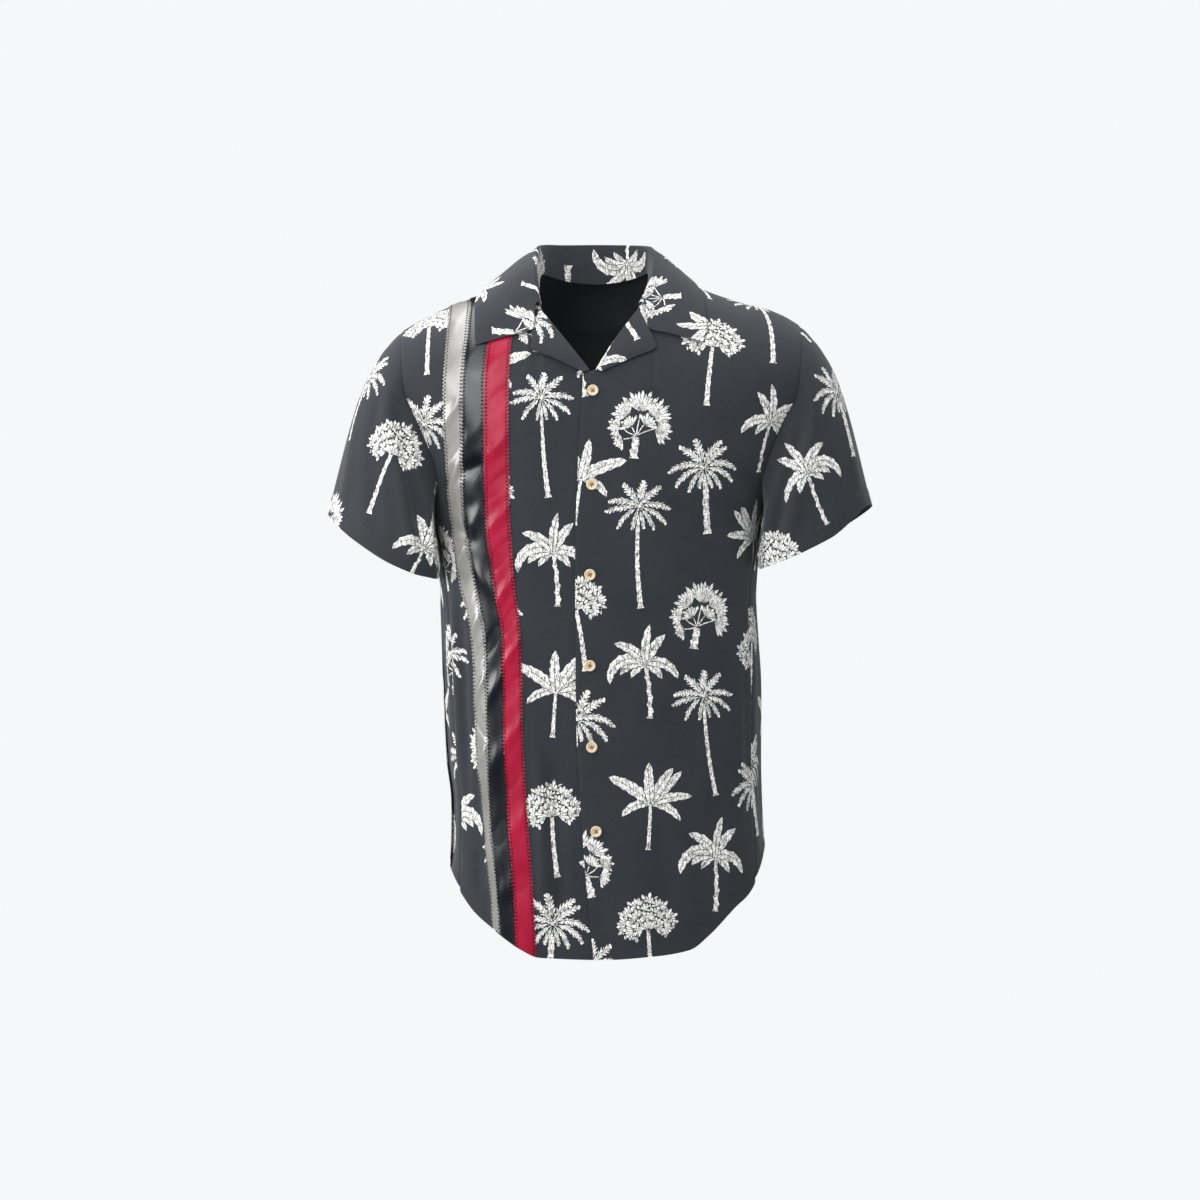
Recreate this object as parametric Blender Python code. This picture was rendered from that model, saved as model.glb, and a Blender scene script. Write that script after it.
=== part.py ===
"""A short-sleeved camp-collar shirt with three ribbons down its right front, in the form it has when worn.

The front faces -Y, the wearer's left is +X, and the origin is the middle of the neck at the height of the
shoulder seams. Lengths here are millimetres, and they become metres as each mesh is made.
"""

import bpy
import numpy as np

cloth_thickness = 1.2
ribbon_thickness = 1.0
seam_gap = 0.35
overlap_step = 2.6
corner_power = 2.4
button_radius = 5.9
button_thickness = 2.4
underarm_height = -250.0
even_rows_end = -560.0

# The body's horizontal sections: height, middle, half width, front depth, back depth, middle front to back.
body_sections = (
    (40, -1, 250, 92, 98, 7),
    (0, 0, 252, 98, 106, 7),
    (-60, 1, 252, 106, 116, 6),
    (-100, 1, 250, 110, 120, 6),
    (-131, 1, 238, 112, 122, 5),
    (-165, 0, 216, 115, 122, 4),
    (-206, 0, 194, 116, 119, 3),
    (-235, -1, 181, 116, 117, 2),
    (-250, -2, 176, 115, 115, 2),
    (-300, -2, 170, 113, 110, 1),
    (-340, -2, 168, 111, 107, 1),
    (-388, 0, 169, 109, 102, 0),
    (-430, 2, 170, 108, 100, 0),
    (-514, 4, 168, 108, 101, 0),
    (-557, 7, 166, 109, 104, 0),
    (-600, 8, 167, 110, 107, 0),
    (-740, 8, 169, 111, 112, 0),
)

# Where the front and back end at the armhole: height, degrees round from the side, of the front and of the back.
armhole_edges = (
    (20, 36, 36),
    (-100, 36, 37),
    (-131, 33, 34),
    (-165, 31, 30),
    (-206, 29, 24),
    (-235, 20, 9),
    (-250, 6, -6),
)

# The side seam below the underarm: height, degrees forward of the side.
side_seam = ((-250, 6), (-300, 16), (-350, 21), (-430, 24), (-740, 24))

# The top of the shoulders: across, height, and how far down the cloth takes to turn from the top to the front.
shoulder_line = (
    (-228, -76, 82),
    (-211, -63, 86),
    (-193, -52, 92),
    (-173, -42, 100),
    (-150, -32, 110),
    (-118, -21, 126),
    (-90, -10, 140),
    (-66, 2, 150),
    (-4, 14, 155),
    (58, 4, 150),
    (90, -9, 140),
    (118, -21, 126),
    (145, -30, 112),
    (185, -41, 96),
    (212, -56, 86),
    (230, -70, 82),
)

# The neck edge of each front, and of the back: across and height.
right_front_neck = ((-69.5, 3), (-67, -13), (-63.5, -38), (-8, -108), (16, -113))
left_front_neck = ((-20, -110), (-8, -107), (41.5, -38), (48.5, -24), (54.5, -8), (57.5, 3))
back_neck = ((-66, 2), (-52, -1.5), (-34, -4.5), (-4, -5), (24, -4.5), (44, -1), (58, 3))

# The hem: across and height, seen from the front and from the back.
front_hem = (
    (-166, -612),
    (-158, -634),
    (-146, -655),
    (-131, -675),
    (-108, -694),
    (-84, -711),
    (-63, -720),
    (0, -722),
    (60, -718),
    (94, -712),
    (114, -697),
    (142, -668),
    (156, -655),
    (168, -632),
    (176, -600),
)
back_hem = (
    (-166, -612),
    (-158, -630),
    (-140, -660),
    (-100, -700),
    (-55, -720),
    (4, -727),
    (62, -722),
    (108, -704),
    (148, -664),
    (168, -628),
    (176, -600),
)

# The edge of the front that laps over: height and across.
lap_edge = ((20, -18), (-107, -18), (-200, -23), (-305, -26), (-469, -25), (-600, -18), (-722, -7))

# The ribbon edges on the right front: height, then white outer, white to black, black to red, red inner.
ribbon_edges = (
    (20, -158, -136, -113, -89),
    (-31, -158.5, -136.5, -114, -90),
    (-131, -164, -144, -121, -95.5),
    (-243, -158.5, -143, -120, -94.5),
    (-330, -147, -130, -111, -89),
    (-386, -134, -120, -102, -83),
    (-504, -129, -116.5, -100, -80),
    (-556, -124, -115, -97, -77),
    (-689, -112, -104, -88.5, -68),
    (-740, -110, -102, -87, -66),
)

# Large folds of the body: degrees round from the wearer's left side, width in degrees, top, bottom, depth.
large_folds = (
    (62, 9, -330, -760, 3.0),
    (101, 8, -420, -760, 2.6),
    (8, 9, -300, -620, 4.0),
    (172, 9, -290, -640, 4.5),
    (214, 12, -230, -760, 5.0),
    (243, 10, -330, -760, 6.0),
    (272, 13, -260, -760, 5.5),
    (301, 10, -350, -760, 6.0),
    (329, 12, -240, -760, 5.0),
)

# The step where the right front turns back beside its ribbons: height and depth.
ribbon_step = ((-300, 0), (-386, 7), (-504, 13), (-600, 17), (-740, 18))

# Share of the way down from the top edge to the underarm, for each row of the body.
top_rows = (0, 0.015, 0.058, 0.128, 0.218, 0.323, 0.436, 0.55, 0.665, 0.78, 0.89, 1)
middle_rows = (0.13, 0.27, 0.42, 0.56, 0.7, 0.85, 1)
bottom_rows = (0.22, 0.42, 0.6, 0.76, 0.89, 1)

# Share of the way from the lapped edge to the side, for each column of the left front.
left_front_columns = (0, 0.05, 0.088, 0.127, 0.166, 0.192, 0.219, 0.32, 0.447, 0.588, 0.69, 0.8, 0.9, 1)
inner_shares = (0, 0.21, 0.39, 0.57, 0.745, 0.785, 0.812, 1)
outer_shares = (0.35, 0.68, 1)
back_columns = 24

# The sleeves: outer and inner end of the hem, its depth from front to back and how far its inner end is forward.
sleeve_sizes = {
    "sleeve_right": {"side": -1, "outer": (-287, -254), "inner": (-168.5, -322), "middle": -11, "half": 57, "skew": 41},
    "sleeve_left": {"side": 1, "outer": (287, -252), "inner": (166, -317), "middle": -11, "half": 57, "skew": 38},
}
sleeve_rows = (0, 0.1, 0.22, 0.36, 0.52, 0.68, 0.84, 1)

# The collar from end to end: roll line, stand foot and outer edge, each across, front to back and up.
collar_stations = (
    ((-65, -67, -33), (-60.5, -57, -40), (-133, -88, -74.5)),
    ((-68, -53, -11), (-63.5, -47, -24), (-134.5, -74, -53)),
    ((-69, -35, 7), (-63.5, -30, -13), (-134, -50, -37)),
    ((-68, -12, 20), (-62.5, -10, -4), (-131.5, -22, -27)),
    ((-65, 12, 29.5), (-60, 13, -1), (-127, 10, -22)),
    ((-55, 36, 32), (-48, 32, -4), (-109, 50, -26)),
    ((-34, 54, 32.5), (-30, 45, -8), (-66, 82, -38)),
    ((-5, 60, 33), (-5, 51, -10), (-5, 93, -42)),
    ((25, 54, 32.5), (20, 45, -8), (55, 82, -37)),
    ((45, 36, 31), (38, 32, -4), (90, 50, -22)),
    ((54.5, 12, 28), (50, 13, 0), (98, 10, -11)),
    ((57.5, -12, 15), (51, -10, -5), (105, -22, -21)),
    ((56, -34, 0), (49, -27, -18), (111, -50, -36)),
    ((50, -54, -18), (43.5, -45, -32), (113, -74, -54)),
    ((43, -68, -33), (39, -58, -41), (109, -88, -73)),
)
collar_notches = {"start": (-70.5, -62.5), "end": (52.5, -62)}
collar_lift = 3.4

# The lapels: roll line from the buttons to the collar, then outer edge the same way, across and height.
lapel_shapes = {
    "lapel_right": {
        "roll": ((-12, -106), (-30, -83), (-47.5, -61), (-63.5, -41)),
        "edge": ((-17, -107.5), (-51, -92), (-72.5, -82.5), (-71.5, -67.5)),
    },
    "lapel_left": {
        "roll": ((-4, -106), (11, -82), (26.5, -60), (41, -41)),
        "edge": ((1, -107), (33, -93.5), (59, -80.5), (53.5, -67)),
    },
}

# How far a lapel stands off its front, at the roll line and at its outer edge.
lapel_lifts = (0.35, 2.0)

# The buttons: across and height on the lapped front.
button_places = ((-7.5, -128), (-8.5, -226), (-10.5, -320), (-10.5, -415), (-8.5, -500), (-4, -588))

colours = {
    "cloth": ((0.032, 0.037, 0.043, 1), 0.85),
    "ribbon_white": ((0.66, 0.64, 0.6, 1), 0.4),
    "ribbon_black": ((0.03, 0.034, 0.04, 1), 0.4),
    "ribbon_red": ((0.5, 0.018, 0.055, 1), 0.4),
    "button": ((0.56, 0.44, 0.28, 1), 0.45),
}


def smooth_curve(table, column, at):
    """Value of one column of a table at the given first-column values, through a smooth monotone curve."""
    rows = sorted((row[0], row[column]) for row in table)
    xs = np.array([row[0] for row in rows], float)
    ys = np.array([row[1] for row in rows], float)
    steps = np.diff(xs)
    slopes = np.diff(ys) / steps
    inner = np.zeros(len(slopes) - 1)
    same = slopes[:-1] * slopes[1:] > 0
    inner[same] = 2 * slopes[:-1][same] * slopes[1:][same] / (slopes[:-1][same] + slopes[1:][same])
    ends = np.concatenate([slopes[:1], inner, slopes[-1:]])
    at = np.clip(np.asarray(at, float), xs[0], xs[-1])
    k = np.clip(np.searchsorted(xs, at) - 1, 0, len(steps) - 1)
    t = (at - xs[k]) / steps[k]
    rise = ys[k] * (1 + 2 * t) * (1 - t) ** 2 + ys[k + 1] * t * t * (3 - 2 * t)
    return rise + steps[k] * (ends[k] * t * (1 - t) ** 2 - ends[k + 1] * t * t * (1 - t))


def smooth_step(x):
    x = np.clip(x, 0, 1)
    return x * x * (3 - 2 * x)


def section(z):
    """Middle, half width, front depth, back depth and front-to-back middle of the body at a height."""
    return [smooth_curve(body_sections, column, z) for column in range(1, 6)]


def side_reach(angle, power):
    value = np.cos(np.radians(angle))
    return np.sign(value) * np.abs(value) ** power


def angle_at(x, z):
    """Degrees round from the wearer's left, on the front, of the point that far across at that height."""
    middle, half, _, _, _ = section(z)
    share = np.clip((x - middle) / half, -1, 1)
    return np.degrees(np.arccos(np.sign(share) * np.abs(share) ** (corner_power / 2)))


def fold_depth(angle, z):
    """How far the folds press the body in at an angle and height."""
    depth = np.zeros(np.broadcast(angle, z).shape)
    for centre, width, top, bottom, press in large_folds:
        near = np.exp(-(((angle - centre + 180) % 360 - 180) / width) ** 2)
        along = smooth_step((top - z) / 140) * smooth_step((z - bottom) / 60 + 0.3)
        depth += press * near * along
    return depth


def ribbon_turn(x, z):
    """How far back the right front steps outside its ribbons."""
    inner = smooth_curve(ribbon_edges, 2, z)
    outer = smooth_curve(ribbon_edges, 1, z)
    return smooth_curve(ribbon_step, 1, z) * smooth_step((inner + 2 - x) / (inner - outer + 6))


def body_point(angle, z):
    """The body's outer surface at a number of degrees round from the wearer's left, and a height."""
    angle, z = np.broadcast_arrays(np.asarray(angle, float), np.asarray(z, float))
    middle, half, front, back, centre = section(z)
    power = 2 / corner_power
    x = middle + half * side_reach(angle, power)
    forward = np.sin(np.radians(angle))
    depth = np.where(forward >= 0, front, back) * np.abs(forward) ** power
    turn = smooth_curve(shoulder_line, 2, x)
    below = np.clip((smooth_curve(shoulder_line, 1, x) - z) / turn, 0, 1)
    depth = depth * np.sqrt(1 - (1 - below) ** 2)
    press = fold_depth(angle, z)
    depth = np.maximum(depth - press * np.abs(forward), 0)
    y = centre - np.sign(forward) * depth
    y = y + np.where(forward > 0, ribbon_turn(x, z), 0)
    x = x - press * np.sign(x) * np.abs(np.cos(np.radians(angle)))
    return np.stack([x, y, z], axis=-1)


def outside_by(points):
    """About how far each point stands outside the body, in millimetres, and the direction away from it."""

    def level(p):
        middle, half, front, back, centre = section(p[..., 2])
        share = np.clip(np.abs(p[..., 0] - middle) / half, 0, 0.999)
        wide = (1 - share**corner_power) ** (1 / corner_power)
        depth = np.where(p[..., 1] < centre, front, back) * wide
        turn = smooth_curve(shoulder_line, 2, p[..., 0])
        above = np.maximum(p[..., 2] - (smooth_curve(shoulder_line, 1, p[..., 0]) - turn), 0) / turn
        return np.sqrt(((p[..., 1] - centre) / depth) ** 2 + above**2) - 1

    base = level(points)
    slope = np.stack([level(points + 0.5 * axis) - level(points - 0.5 * axis) for axis in np.eye(3)], axis=-1)
    size = np.linalg.norm(slope, axis=-1)
    return base / size, slope / size[..., None]


def lifted(points, lift, settle=False):
    """The points moved out until they stand that far off the body, or brought to that distance to settle them."""
    points = np.array(points, float)
    for _ in range(8):
        distance, away = outside_by(points)
        short = lift - distance
        if not settle:
            short = np.maximum(short, 0)
        points += short[..., None] * away
    return points


def height_rows(tops, bottoms):
    """Heights of every row for columns with these tops and bottoms."""
    upper = tops + (underarm_height - tops) * np.array(top_rows)[:, None]
    middle = underarm_height + (even_rows_end - underarm_height) * np.array(middle_rows)[:, None]
    lower = even_rows_end + (bottoms - even_rows_end) * np.array(bottom_rows)[:, None]
    return np.concatenate([upper, np.broadcast_to(middle, (len(middle_rows), len(tops))), lower])


def top_of(x, neck, inner_limit, outer_limit):
    """Height of a panel's top edge: its neck line between the limits, and the shoulder line past them."""
    inside = (x > inner_limit) & (x < outer_limit)
    return np.where(inside, smooth_curve(neck, 1, x), smooth_curve(shoulder_line, 1, x))


def panel_grid(angle_of, neck, limits, hem):
    """A body panel's outer points, a row at a time. angle_of gives each column's angle at its height."""
    count = len(angle_of(np.array(0.0)))
    tops = np.full(count, -60.0)
    bottoms = np.full(count, -700.0)
    for _ in range(12):
        angles = np.array([angle_of(np.array(z))[c] for c, z in enumerate(tops)])
        tops = top_of(body_point(angles, tops)[:, 0], neck, *limits)
        angles = np.array([angle_of(np.array(z))[c] for c, z in enumerate(bottoms)])
        x = body_point(angles, bottoms)[:, 0]
        bottoms = hem(x, angles)
    rows = height_rows(tops, bottoms)
    angles = np.array([[angle_of(np.array(z))[c] for c, z in enumerate(row)] for row in rows])
    return body_point(angles, rows)


def hem_height(x, angle):
    front = smooth_curve(front_hem, 1, x)
    back = smooth_curve(back_hem, 1, x)
    return np.where((angle % 360) < 180, front, back)


def side_edge(z, column):
    """Degrees from the side where a body piece ends: 1 for a front, 2 for the back."""
    seam = smooth_curve(side_seam, 1, z)
    return np.where(z < underarm_height, seam if column == 1 else -seam, smooth_curve(armhole_edges, column, z))


def left_front_angles(z):
    start = angle_at(smooth_curve(lap_edge, 1, z), z)
    end = side_edge(z, 1)
    return start + (end - start) * np.array(left_front_columns)


def right_front_angles(z):
    """Columns of the right front: plain cloth to the red ribbon, two columns a ribbon, then out to the side."""
    white, black, red, inner = (smooth_curve(ribbon_edges, column, z) for column in range(1, 5))
    near = 14 + (inner - 14) * np.array(inner_shares)
    ribbons = np.array([(inner + red) / 2, red, (red + black) / 2, black, (black + white) / 2, white])
    angles = angle_at(np.concatenate([near, ribbons]), z)
    end = 180 - side_edge(z, 1)
    return np.concatenate([angles, angles[-1] + (end - angles[-1]) * np.array(outer_shares)])


def back_angles(z):
    edge = side_edge(z, 2)
    return -edge + (-180 + 2 * edge) * np.linspace(0, 1, back_columns + 1)


def grid_normals(grid, closed=False):
    """Unit normals of a grid of points, from its neighbours along the rows and columns."""
    if closed:
        across = np.roll(grid, -1, axis=1) - np.roll(grid, 1, axis=1)
    else:
        across = np.gradient(grid, axis=1)
    normals = np.cross(across, np.gradient(grid, axis=0))
    return normals / np.linalg.norm(normals, axis=-1, keepdims=True)


def make_solid(name, outer, inner, slot, closed=False):
    """One closed solid between two grids of points: two skins and the rim that joins them."""
    rows, columns, _ = outer.shape
    points = np.concatenate([outer.reshape(-1, 3), inner.reshape(-1, 3)])
    index = np.arange(rows * columns).reshape(rows, columns)
    if closed:
        index = np.concatenate([index, index[:, :1]], axis=1)
    a, b, c, d = index[:-1, :-1], index[1:, :-1], index[1:, 1:], index[:-1, 1:]
    skin = np.concatenate([np.stack(three, axis=-1).reshape(-1, 3) for three in ((a, d, c), (a, c, b))])
    under = rows * columns
    loops = [index[0], index[-1][::-1]]
    if not closed:
        loops = [np.concatenate([index[0, :-1], index[:-1, -1], index[-1, :0:-1], index[::-1, 0]])]
    rims = []
    for loop in loops:
        for p, q in zip(loop[:-1], loop[1:]):
            rims += [(q, p, p + under), (q, p + under, q + under)]
    faces = np.concatenate([skin, skin[:, ::-1] + under, np.array(rims)])
    corners = points[faces]
    volume = np.einsum("ij,ij->i", corners[:, 0], np.cross(corners[:, 1], corners[:, 2])).sum()
    if volume < 0:
        faces = faces[:, ::-1]
    mesh = bpy.data.meshes.new(name)
    mesh.from_pydata((points / 1000).tolist(), [], faces.tolist())
    mesh.update()
    link(name, mesh, slot)


def link(name, mesh, slot):
    mesh.materials.append(own_material(name, slot))
    item = bpy.data.objects.new(name, mesh)
    bpy.context.scene.collection.objects.link(item)


def own_material(name, slot):
    material = bpy.data.materials.new(name)
    material.use_nodes = True
    shader = material.node_tree.nodes["Principled BSDF"]
    colour, roughness = colours[slot]
    shader.inputs["Base Color"].default_value = colour
    shader.inputs["Roughness"].default_value = roughness
    shader.inputs["Metallic"].default_value = 0
    return material


def facing_out(grid, normals):
    """The normals, turned to point away from the body's upright middle line."""
    away = grid - np.array([0, 3, 0])
    away[..., 2] = 0
    return normals if (away * normals).sum() > 0 else -normals


def make_panel(name, grid, slot="cloth", thickness=cloth_thickness):
    normals = facing_out(grid, grid_normals(grid))
    make_solid(name, grid, grid - thickness * normals, slot)
    return normals


def make_left_front():
    grid = panel_grid(left_front_angles, left_front_neck, (-40, 57.5), hem_height)
    normals = make_panel("front_left", inset_sides(grid))
    return grid, normals


def make_right_front():
    """The right front runs in behind the lapped edge, a little further in than the other front."""
    grid = panel_grid(right_front_angles, right_front_neck, (-69, 40), hem_height)
    under = smooth_step((grid[..., 0] + 82) / 44)
    grid[..., 1] += overlap_step * under
    normals = make_panel("front_right", inset_sides(grid))
    return grid, normals


def make_back():
    grid = panel_grid(back_angles, back_neck, (-66, 58), hem_height)
    make_panel("back", inset_sides(grid, both=True))
    return grid


def inset_sides(grid, both=False):
    """The grid with its seam edges drawn in by the seam gap: the side column, and the top row."""
    grid = grid.copy()
    for edge, next_in in ((-1, -2), (0, 1)) if both else ((-1, -2),):
        inward = grid[:, next_in] - grid[:, edge]
        grid[:, edge] += seam_gap * inward / np.linalg.norm(inward, axis=-1, keepdims=True)
    inward = grid[1] - grid[0]
    grid[0] += seam_gap * inward / np.linalg.norm(inward, axis=-1, keepdims=True)
    return grid


def make_ribbons(grid, normals):
    """Three ribbons on the right front's own points, each moved out and drawn in a little at its edges."""
    first = len(inner_shares) - 1
    for name, start in (("ribbon_red", first), ("ribbon_black", first + 2), ("ribbon_white", first + 4)):
        strip = grid[:, start : start + 3].copy()
        out = normals[:, start : start + 3]
        across = strip[:, 2] - strip[:, 0]
        across /= np.linalg.norm(across, axis=-1, keepdims=True)
        strip[:, 0] += 0.25 * across
        strip[:, 2] -= 0.25 * across
        down = strip[1] - strip[0]
        strip[0] += 0.8 * down / np.linalg.norm(down, axis=-1, keepdims=True)
        under = strip + seam_gap * out
        make_solid(name, under + ribbon_thickness * out, under, name)


def armhole(front, back, column):
    """The armhole's loop: down the front's edge from the shoulder to the underarm, then up the back's."""
    count = len(top_rows)
    down = front[:count, -1]
    up = back[:count, column][::-1]
    return np.concatenate([down, up[1:-1]]), count - 1


def hem_loop(sizes, turn):
    outer, inner = np.array(sizes["outer"], float), np.array(sizes["inner"], float)
    middle, reach = (outer + inner) / 2, (outer - inner) / 2
    x = middle[0] + reach[0] * np.cos(turn)
    y = sizes["middle"] - sizes["half"] * np.sin(turn) - sizes["skew"] * (1 - np.cos(turn)) / 2
    z = middle[1] + reach[1] * np.cos(turn) - 7 * np.abs(np.sin(turn))
    return np.stack([x, y, z], axis=-1)


def turns_round(loop, lowest):
    """Each loop point's turn: 0 at the shoulder, half a turn at the underarm, by length along the loop."""
    steps = np.linalg.norm(np.roll(loop, -1, axis=0) - loop, axis=1)
    run = np.concatenate([[0], np.cumsum(steps)])
    front = np.pi * run[: lowest + 1] / run[lowest]
    back = np.pi + np.pi * (run[lowest + 1 : -1] - run[lowest]) / (run[-1] - run[lowest])
    return np.concatenate([front, back])


def sleeve_grid(name, loop, lowest, rows):
    """Points of a sleeve from the armhole to its hem, each line a curve that leaves along the shoulder."""
    sizes = sleeve_sizes[name]
    turn = turns_round(loop, lowest)
    hem = hem_loop(sizes, turn)
    top = (1 + np.cos(turn)) / 2
    side = sizes["side"]
    behind = (1 - np.sin(turn)) / 2
    outward = 0.08 + 0.3 * behind * (1 - top) + 0.72 * top
    forward = 0.12 * np.sin(turn) + 0.3 * (1 - top)
    leave = np.stack([side * outward, -forward, -0.9 + 0.3 * top], axis=-1)
    arrive = np.stack([side * 0.27 * np.ones_like(turn), np.zeros_like(turn), -0.96 * np.ones_like(turn)], axis=-1)
    start = loop + np.array([side, 0, -0.35]) * (0.5 + 0.6 * (1 - top))[:, None]
    length = np.linalg.norm(hem - start, axis=1, keepdims=True)
    u = np.array(rows)[:, None, None]
    leaving = (u**3 - 2 * u**2 + u) * leave * length * 0.85
    arriving = (u**3 - u**2) * arrive * length * 1.15
    return (2 * u**3 - 3 * u**2 + 1) * start + leaving + (3 * u**2 - 2 * u**3) * hem + arriving


def make_sleeve(name, front, back, column):
    loop, lowest = armhole(front, back, column)
    grid = sleeve_grid(name, loop, lowest, sleeve_rows)
    normals = grid_normals(grid, closed=True)
    middle = grid.mean(axis=1, keepdims=True)
    if ((grid - middle) * normals).sum() < 0:
        normals = -normals
    make_solid(name, grid, grid - cloth_thickness * normals, "cloth", closed=True)


def collar_grid():
    """The collar's outer points: stand foot, up to the roll, over it, and down to the outer edge."""
    roll = np.array([station[0] for station in collar_stations], float)
    foot = np.array([station[1] for station in collar_stations], float)
    edge = np.array([station[2] for station in collar_stations], float)
    at = np.arange(len(roll), dtype=float)
    fine = np.linspace(0, len(roll) - 1, 2 * len(roll) - 1)

    def along(points):
        columns = []
        for axis in range(3):
            table = tuple(zip(at, points[:, axis]))
            columns.append(smooth_curve(table, 1, fine))
        return np.stack(columns, axis=-1)

    roll, foot, edge = along(roll), along(foot), along(edge)
    edge = lifted(edge, collar_lift, settle=True)
    out = edge - roll
    out[:, 2] = 0
    out /= np.linalg.norm(out, axis=1, keepdims=True)
    up = np.array([0, 0, 1.0])
    knee = roll + 0.34 * (edge - roll) + np.array([0, 0, 2.0])
    for place, ends in ((0, "start"), (-1, "end")):
        x, z = collar_notches[ends]
        knee[place] = on_front(np.array([x, 0.0, z]), collar_lift)
    rows = [
        foot,
        foot + 0.5 * (roll - 2.6 * out - foot),
        roll - 2.6 * out - 2.6 * up,
        roll - 1.3 * out - 0.7 * up,
        roll + 1.0 * out - 0.5 * up,
        roll + 2.6 * out - 2.4 * up,
        roll + 2.6 * out - 2.4 * up + 0.45 * (knee - roll - 2.6 * out + 2.4 * up),
        knee,
        knee + 0.34 * (edge - knee),
        knee + 0.68 * (edge - knee),
        edge,
    ]
    for number in range(5, 11):
        rows[number] = lifted(rows[number], collar_lift)
    return np.array(rows)


def make_collar():
    grid = collar_grid()
    normals = grid_normals(grid)
    normals *= 1 if normals[-2, 14, 1] > 0 else -1
    make_solid("collar", grid, grid - cloth_thickness * normals, "cloth")


def make_lapel(name):
    """The turned-back top of a front: a sheet from the roll line out to its edge, lying on that front."""
    shape = lapel_shapes[name]
    roll, edge = np.array(shape["roll"], float), np.array(shape["edge"], float)
    at = np.linspace(0, 1, 4)
    fine = np.linspace(0, 1, 10)
    ends = [np.stack([np.interp(fine, at, line[:, axis]) for axis in (0, 1)], axis=-1) for line in (roll, edge)]
    share = np.linspace(0, 1, 6)[:, None, None]
    flat = ends[0] + share * (ends[1] - ends[0])
    points = np.stack([flat[..., 0], np.zeros(flat.shape[:2]), flat[..., 1]], axis=-1)
    lift = lapel_lifts[0] + (lapel_lifts[1] - lapel_lifts[0]) * share[..., 0]
    grid = on_front(points, lift + cloth_thickness)
    normals = facing_out(grid, grid_normals(grid))
    make_solid(name, grid, grid - cloth_thickness * normals, "cloth")


def on_front(points, lift):
    """The points with their depth set so that they stand about that far in front of the body."""
    surface = body_point(angle_at(points[..., 0], points[..., 2]), points[..., 2])
    points = points.copy()
    points[..., 1] = surface[..., 1] - lift * 1.25
    return points


def button_profile():
    """Half section of a button: radius and height, from the middle of the face to the middle of the back."""
    rim, depth = button_radius, button_thickness
    return ((0, 0.62 * depth), (0.58 * rim, 0.62 * depth), (0.74 * rim, depth), (0.9 * rim, 0.98 * depth),
            (rim, 0.6 * depth), (0.92 * rim, 0.15 * depth), (0.7 * rim, 0), (0, 0))


def make_button(number, place):
    """A round button with a raised rim and four holes, flat on the lapped front."""
    x, z = place
    around = [(x, z), (x + 3, z), (x, z + 3)]
    points = [body_point(angle_at(np.array(px), np.array(pz)), np.array(pz)) for px, pz in around]
    right = points[1] - points[0]
    right /= np.linalg.norm(right)
    out = np.cross(right, points[2] - points[0])
    out /= np.linalg.norm(out)
    out *= -1 if out[1] > 0 else 1
    rise = np.cross(out, right)
    base = points[0] + (seam_gap + 0.15) * out
    name = f"button_{number}"
    disc = turned_mesh(name, button_profile(), 14)
    for hole, turn in enumerate((45, 135, 225, 315)):
        centre = 0.3 * button_radius * np.array([np.cos(np.radians(turn)), np.sin(np.radians(turn))])
        punch_hole(disc, f"hole_{number}_{hole}", centre)
    corners = np.empty(len(disc.data.vertices) * 3)
    disc.data.vertices.foreach_get("co", corners)
    corners = corners.reshape(-1, 3)
    placed = base + corners[:, :1] * right + corners[:, 1:2] * rise + corners[:, 2:] * out
    mesh = bpy.data.meshes.new(name)
    faces = [tuple(face.vertices) for face in disc.data.polygons]
    mesh.from_pydata((placed / 1000).tolist(), [], faces)
    mesh.update()
    bpy.data.objects.remove(disc)
    link(name, mesh, "button")


def turned_mesh(name, profile, sides):
    """A closed mesh made by turning a half section about the z axis, in millimetres."""
    turn = np.linspace(0, 2 * np.pi, sides, endpoint=False)
    points = [(0, 0, profile[0][1])]
    for radius, height in profile[1:-1]:
        points += [(radius * np.cos(a), radius * np.sin(a), height) for a in turn]
    points.append((0, 0, profile[-1][1]))
    last = len(points) - 1
    faces = []
    for k in range(sides):
        n = (k + 1) % sides
        faces.append((0, 1 + k, 1 + n))
        for ring in range(len(profile) - 3):
            a, b = 1 + ring * sides, 1 + (ring + 1) * sides
            faces.append((a + k, b + k, b + n, a + n))
        base = 1 + (len(profile) - 3) * sides
        faces.append((base + k, last, base + n))
    mesh = bpy.data.meshes.new(name + "_disc")
    mesh.from_pydata(points, [], faces)
    item = bpy.data.objects.new(name + "_disc", mesh)
    bpy.context.scene.collection.objects.link(item)
    return item


def punch_hole(disc, name, centre):
    """One thread hole taken straight through the button."""
    turn = np.linspace(0, 2 * np.pi, 6, endpoint=False)
    ring = [(centre[0] + 0.85 * np.cos(a), centre[1] + 0.85 * np.sin(a)) for a in turn]
    points = [(x, y, -2.0) for x, y in ring] + [(x, y, 5.0) for x, y in ring]
    faces = [tuple(range(5, -1, -1)), tuple(range(6, 12))]
    faces += [(k, (k + 1) % 6, 6 + (k + 1) % 6, 6 + k) for k in range(6)]
    mesh = bpy.data.meshes.new(name)
    mesh.from_pydata(points, [], faces)
    cutter = bpy.data.objects.new(name, mesh)
    bpy.context.scene.collection.objects.link(cutter)
    cut = disc.modifiers.new("hole", "BOOLEAN")
    cut.operation = "DIFFERENCE"
    cut.solver = "EXACT"
    cut.object = cutter
    bpy.context.view_layer.update()
    graph = bpy.context.evaluated_depsgraph_get()
    done = bpy.data.meshes.new_from_object(disc.evaluated_get(graph))
    disc.modifiers.clear()
    disc.data = done
    bpy.data.objects.remove(cutter)


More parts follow.
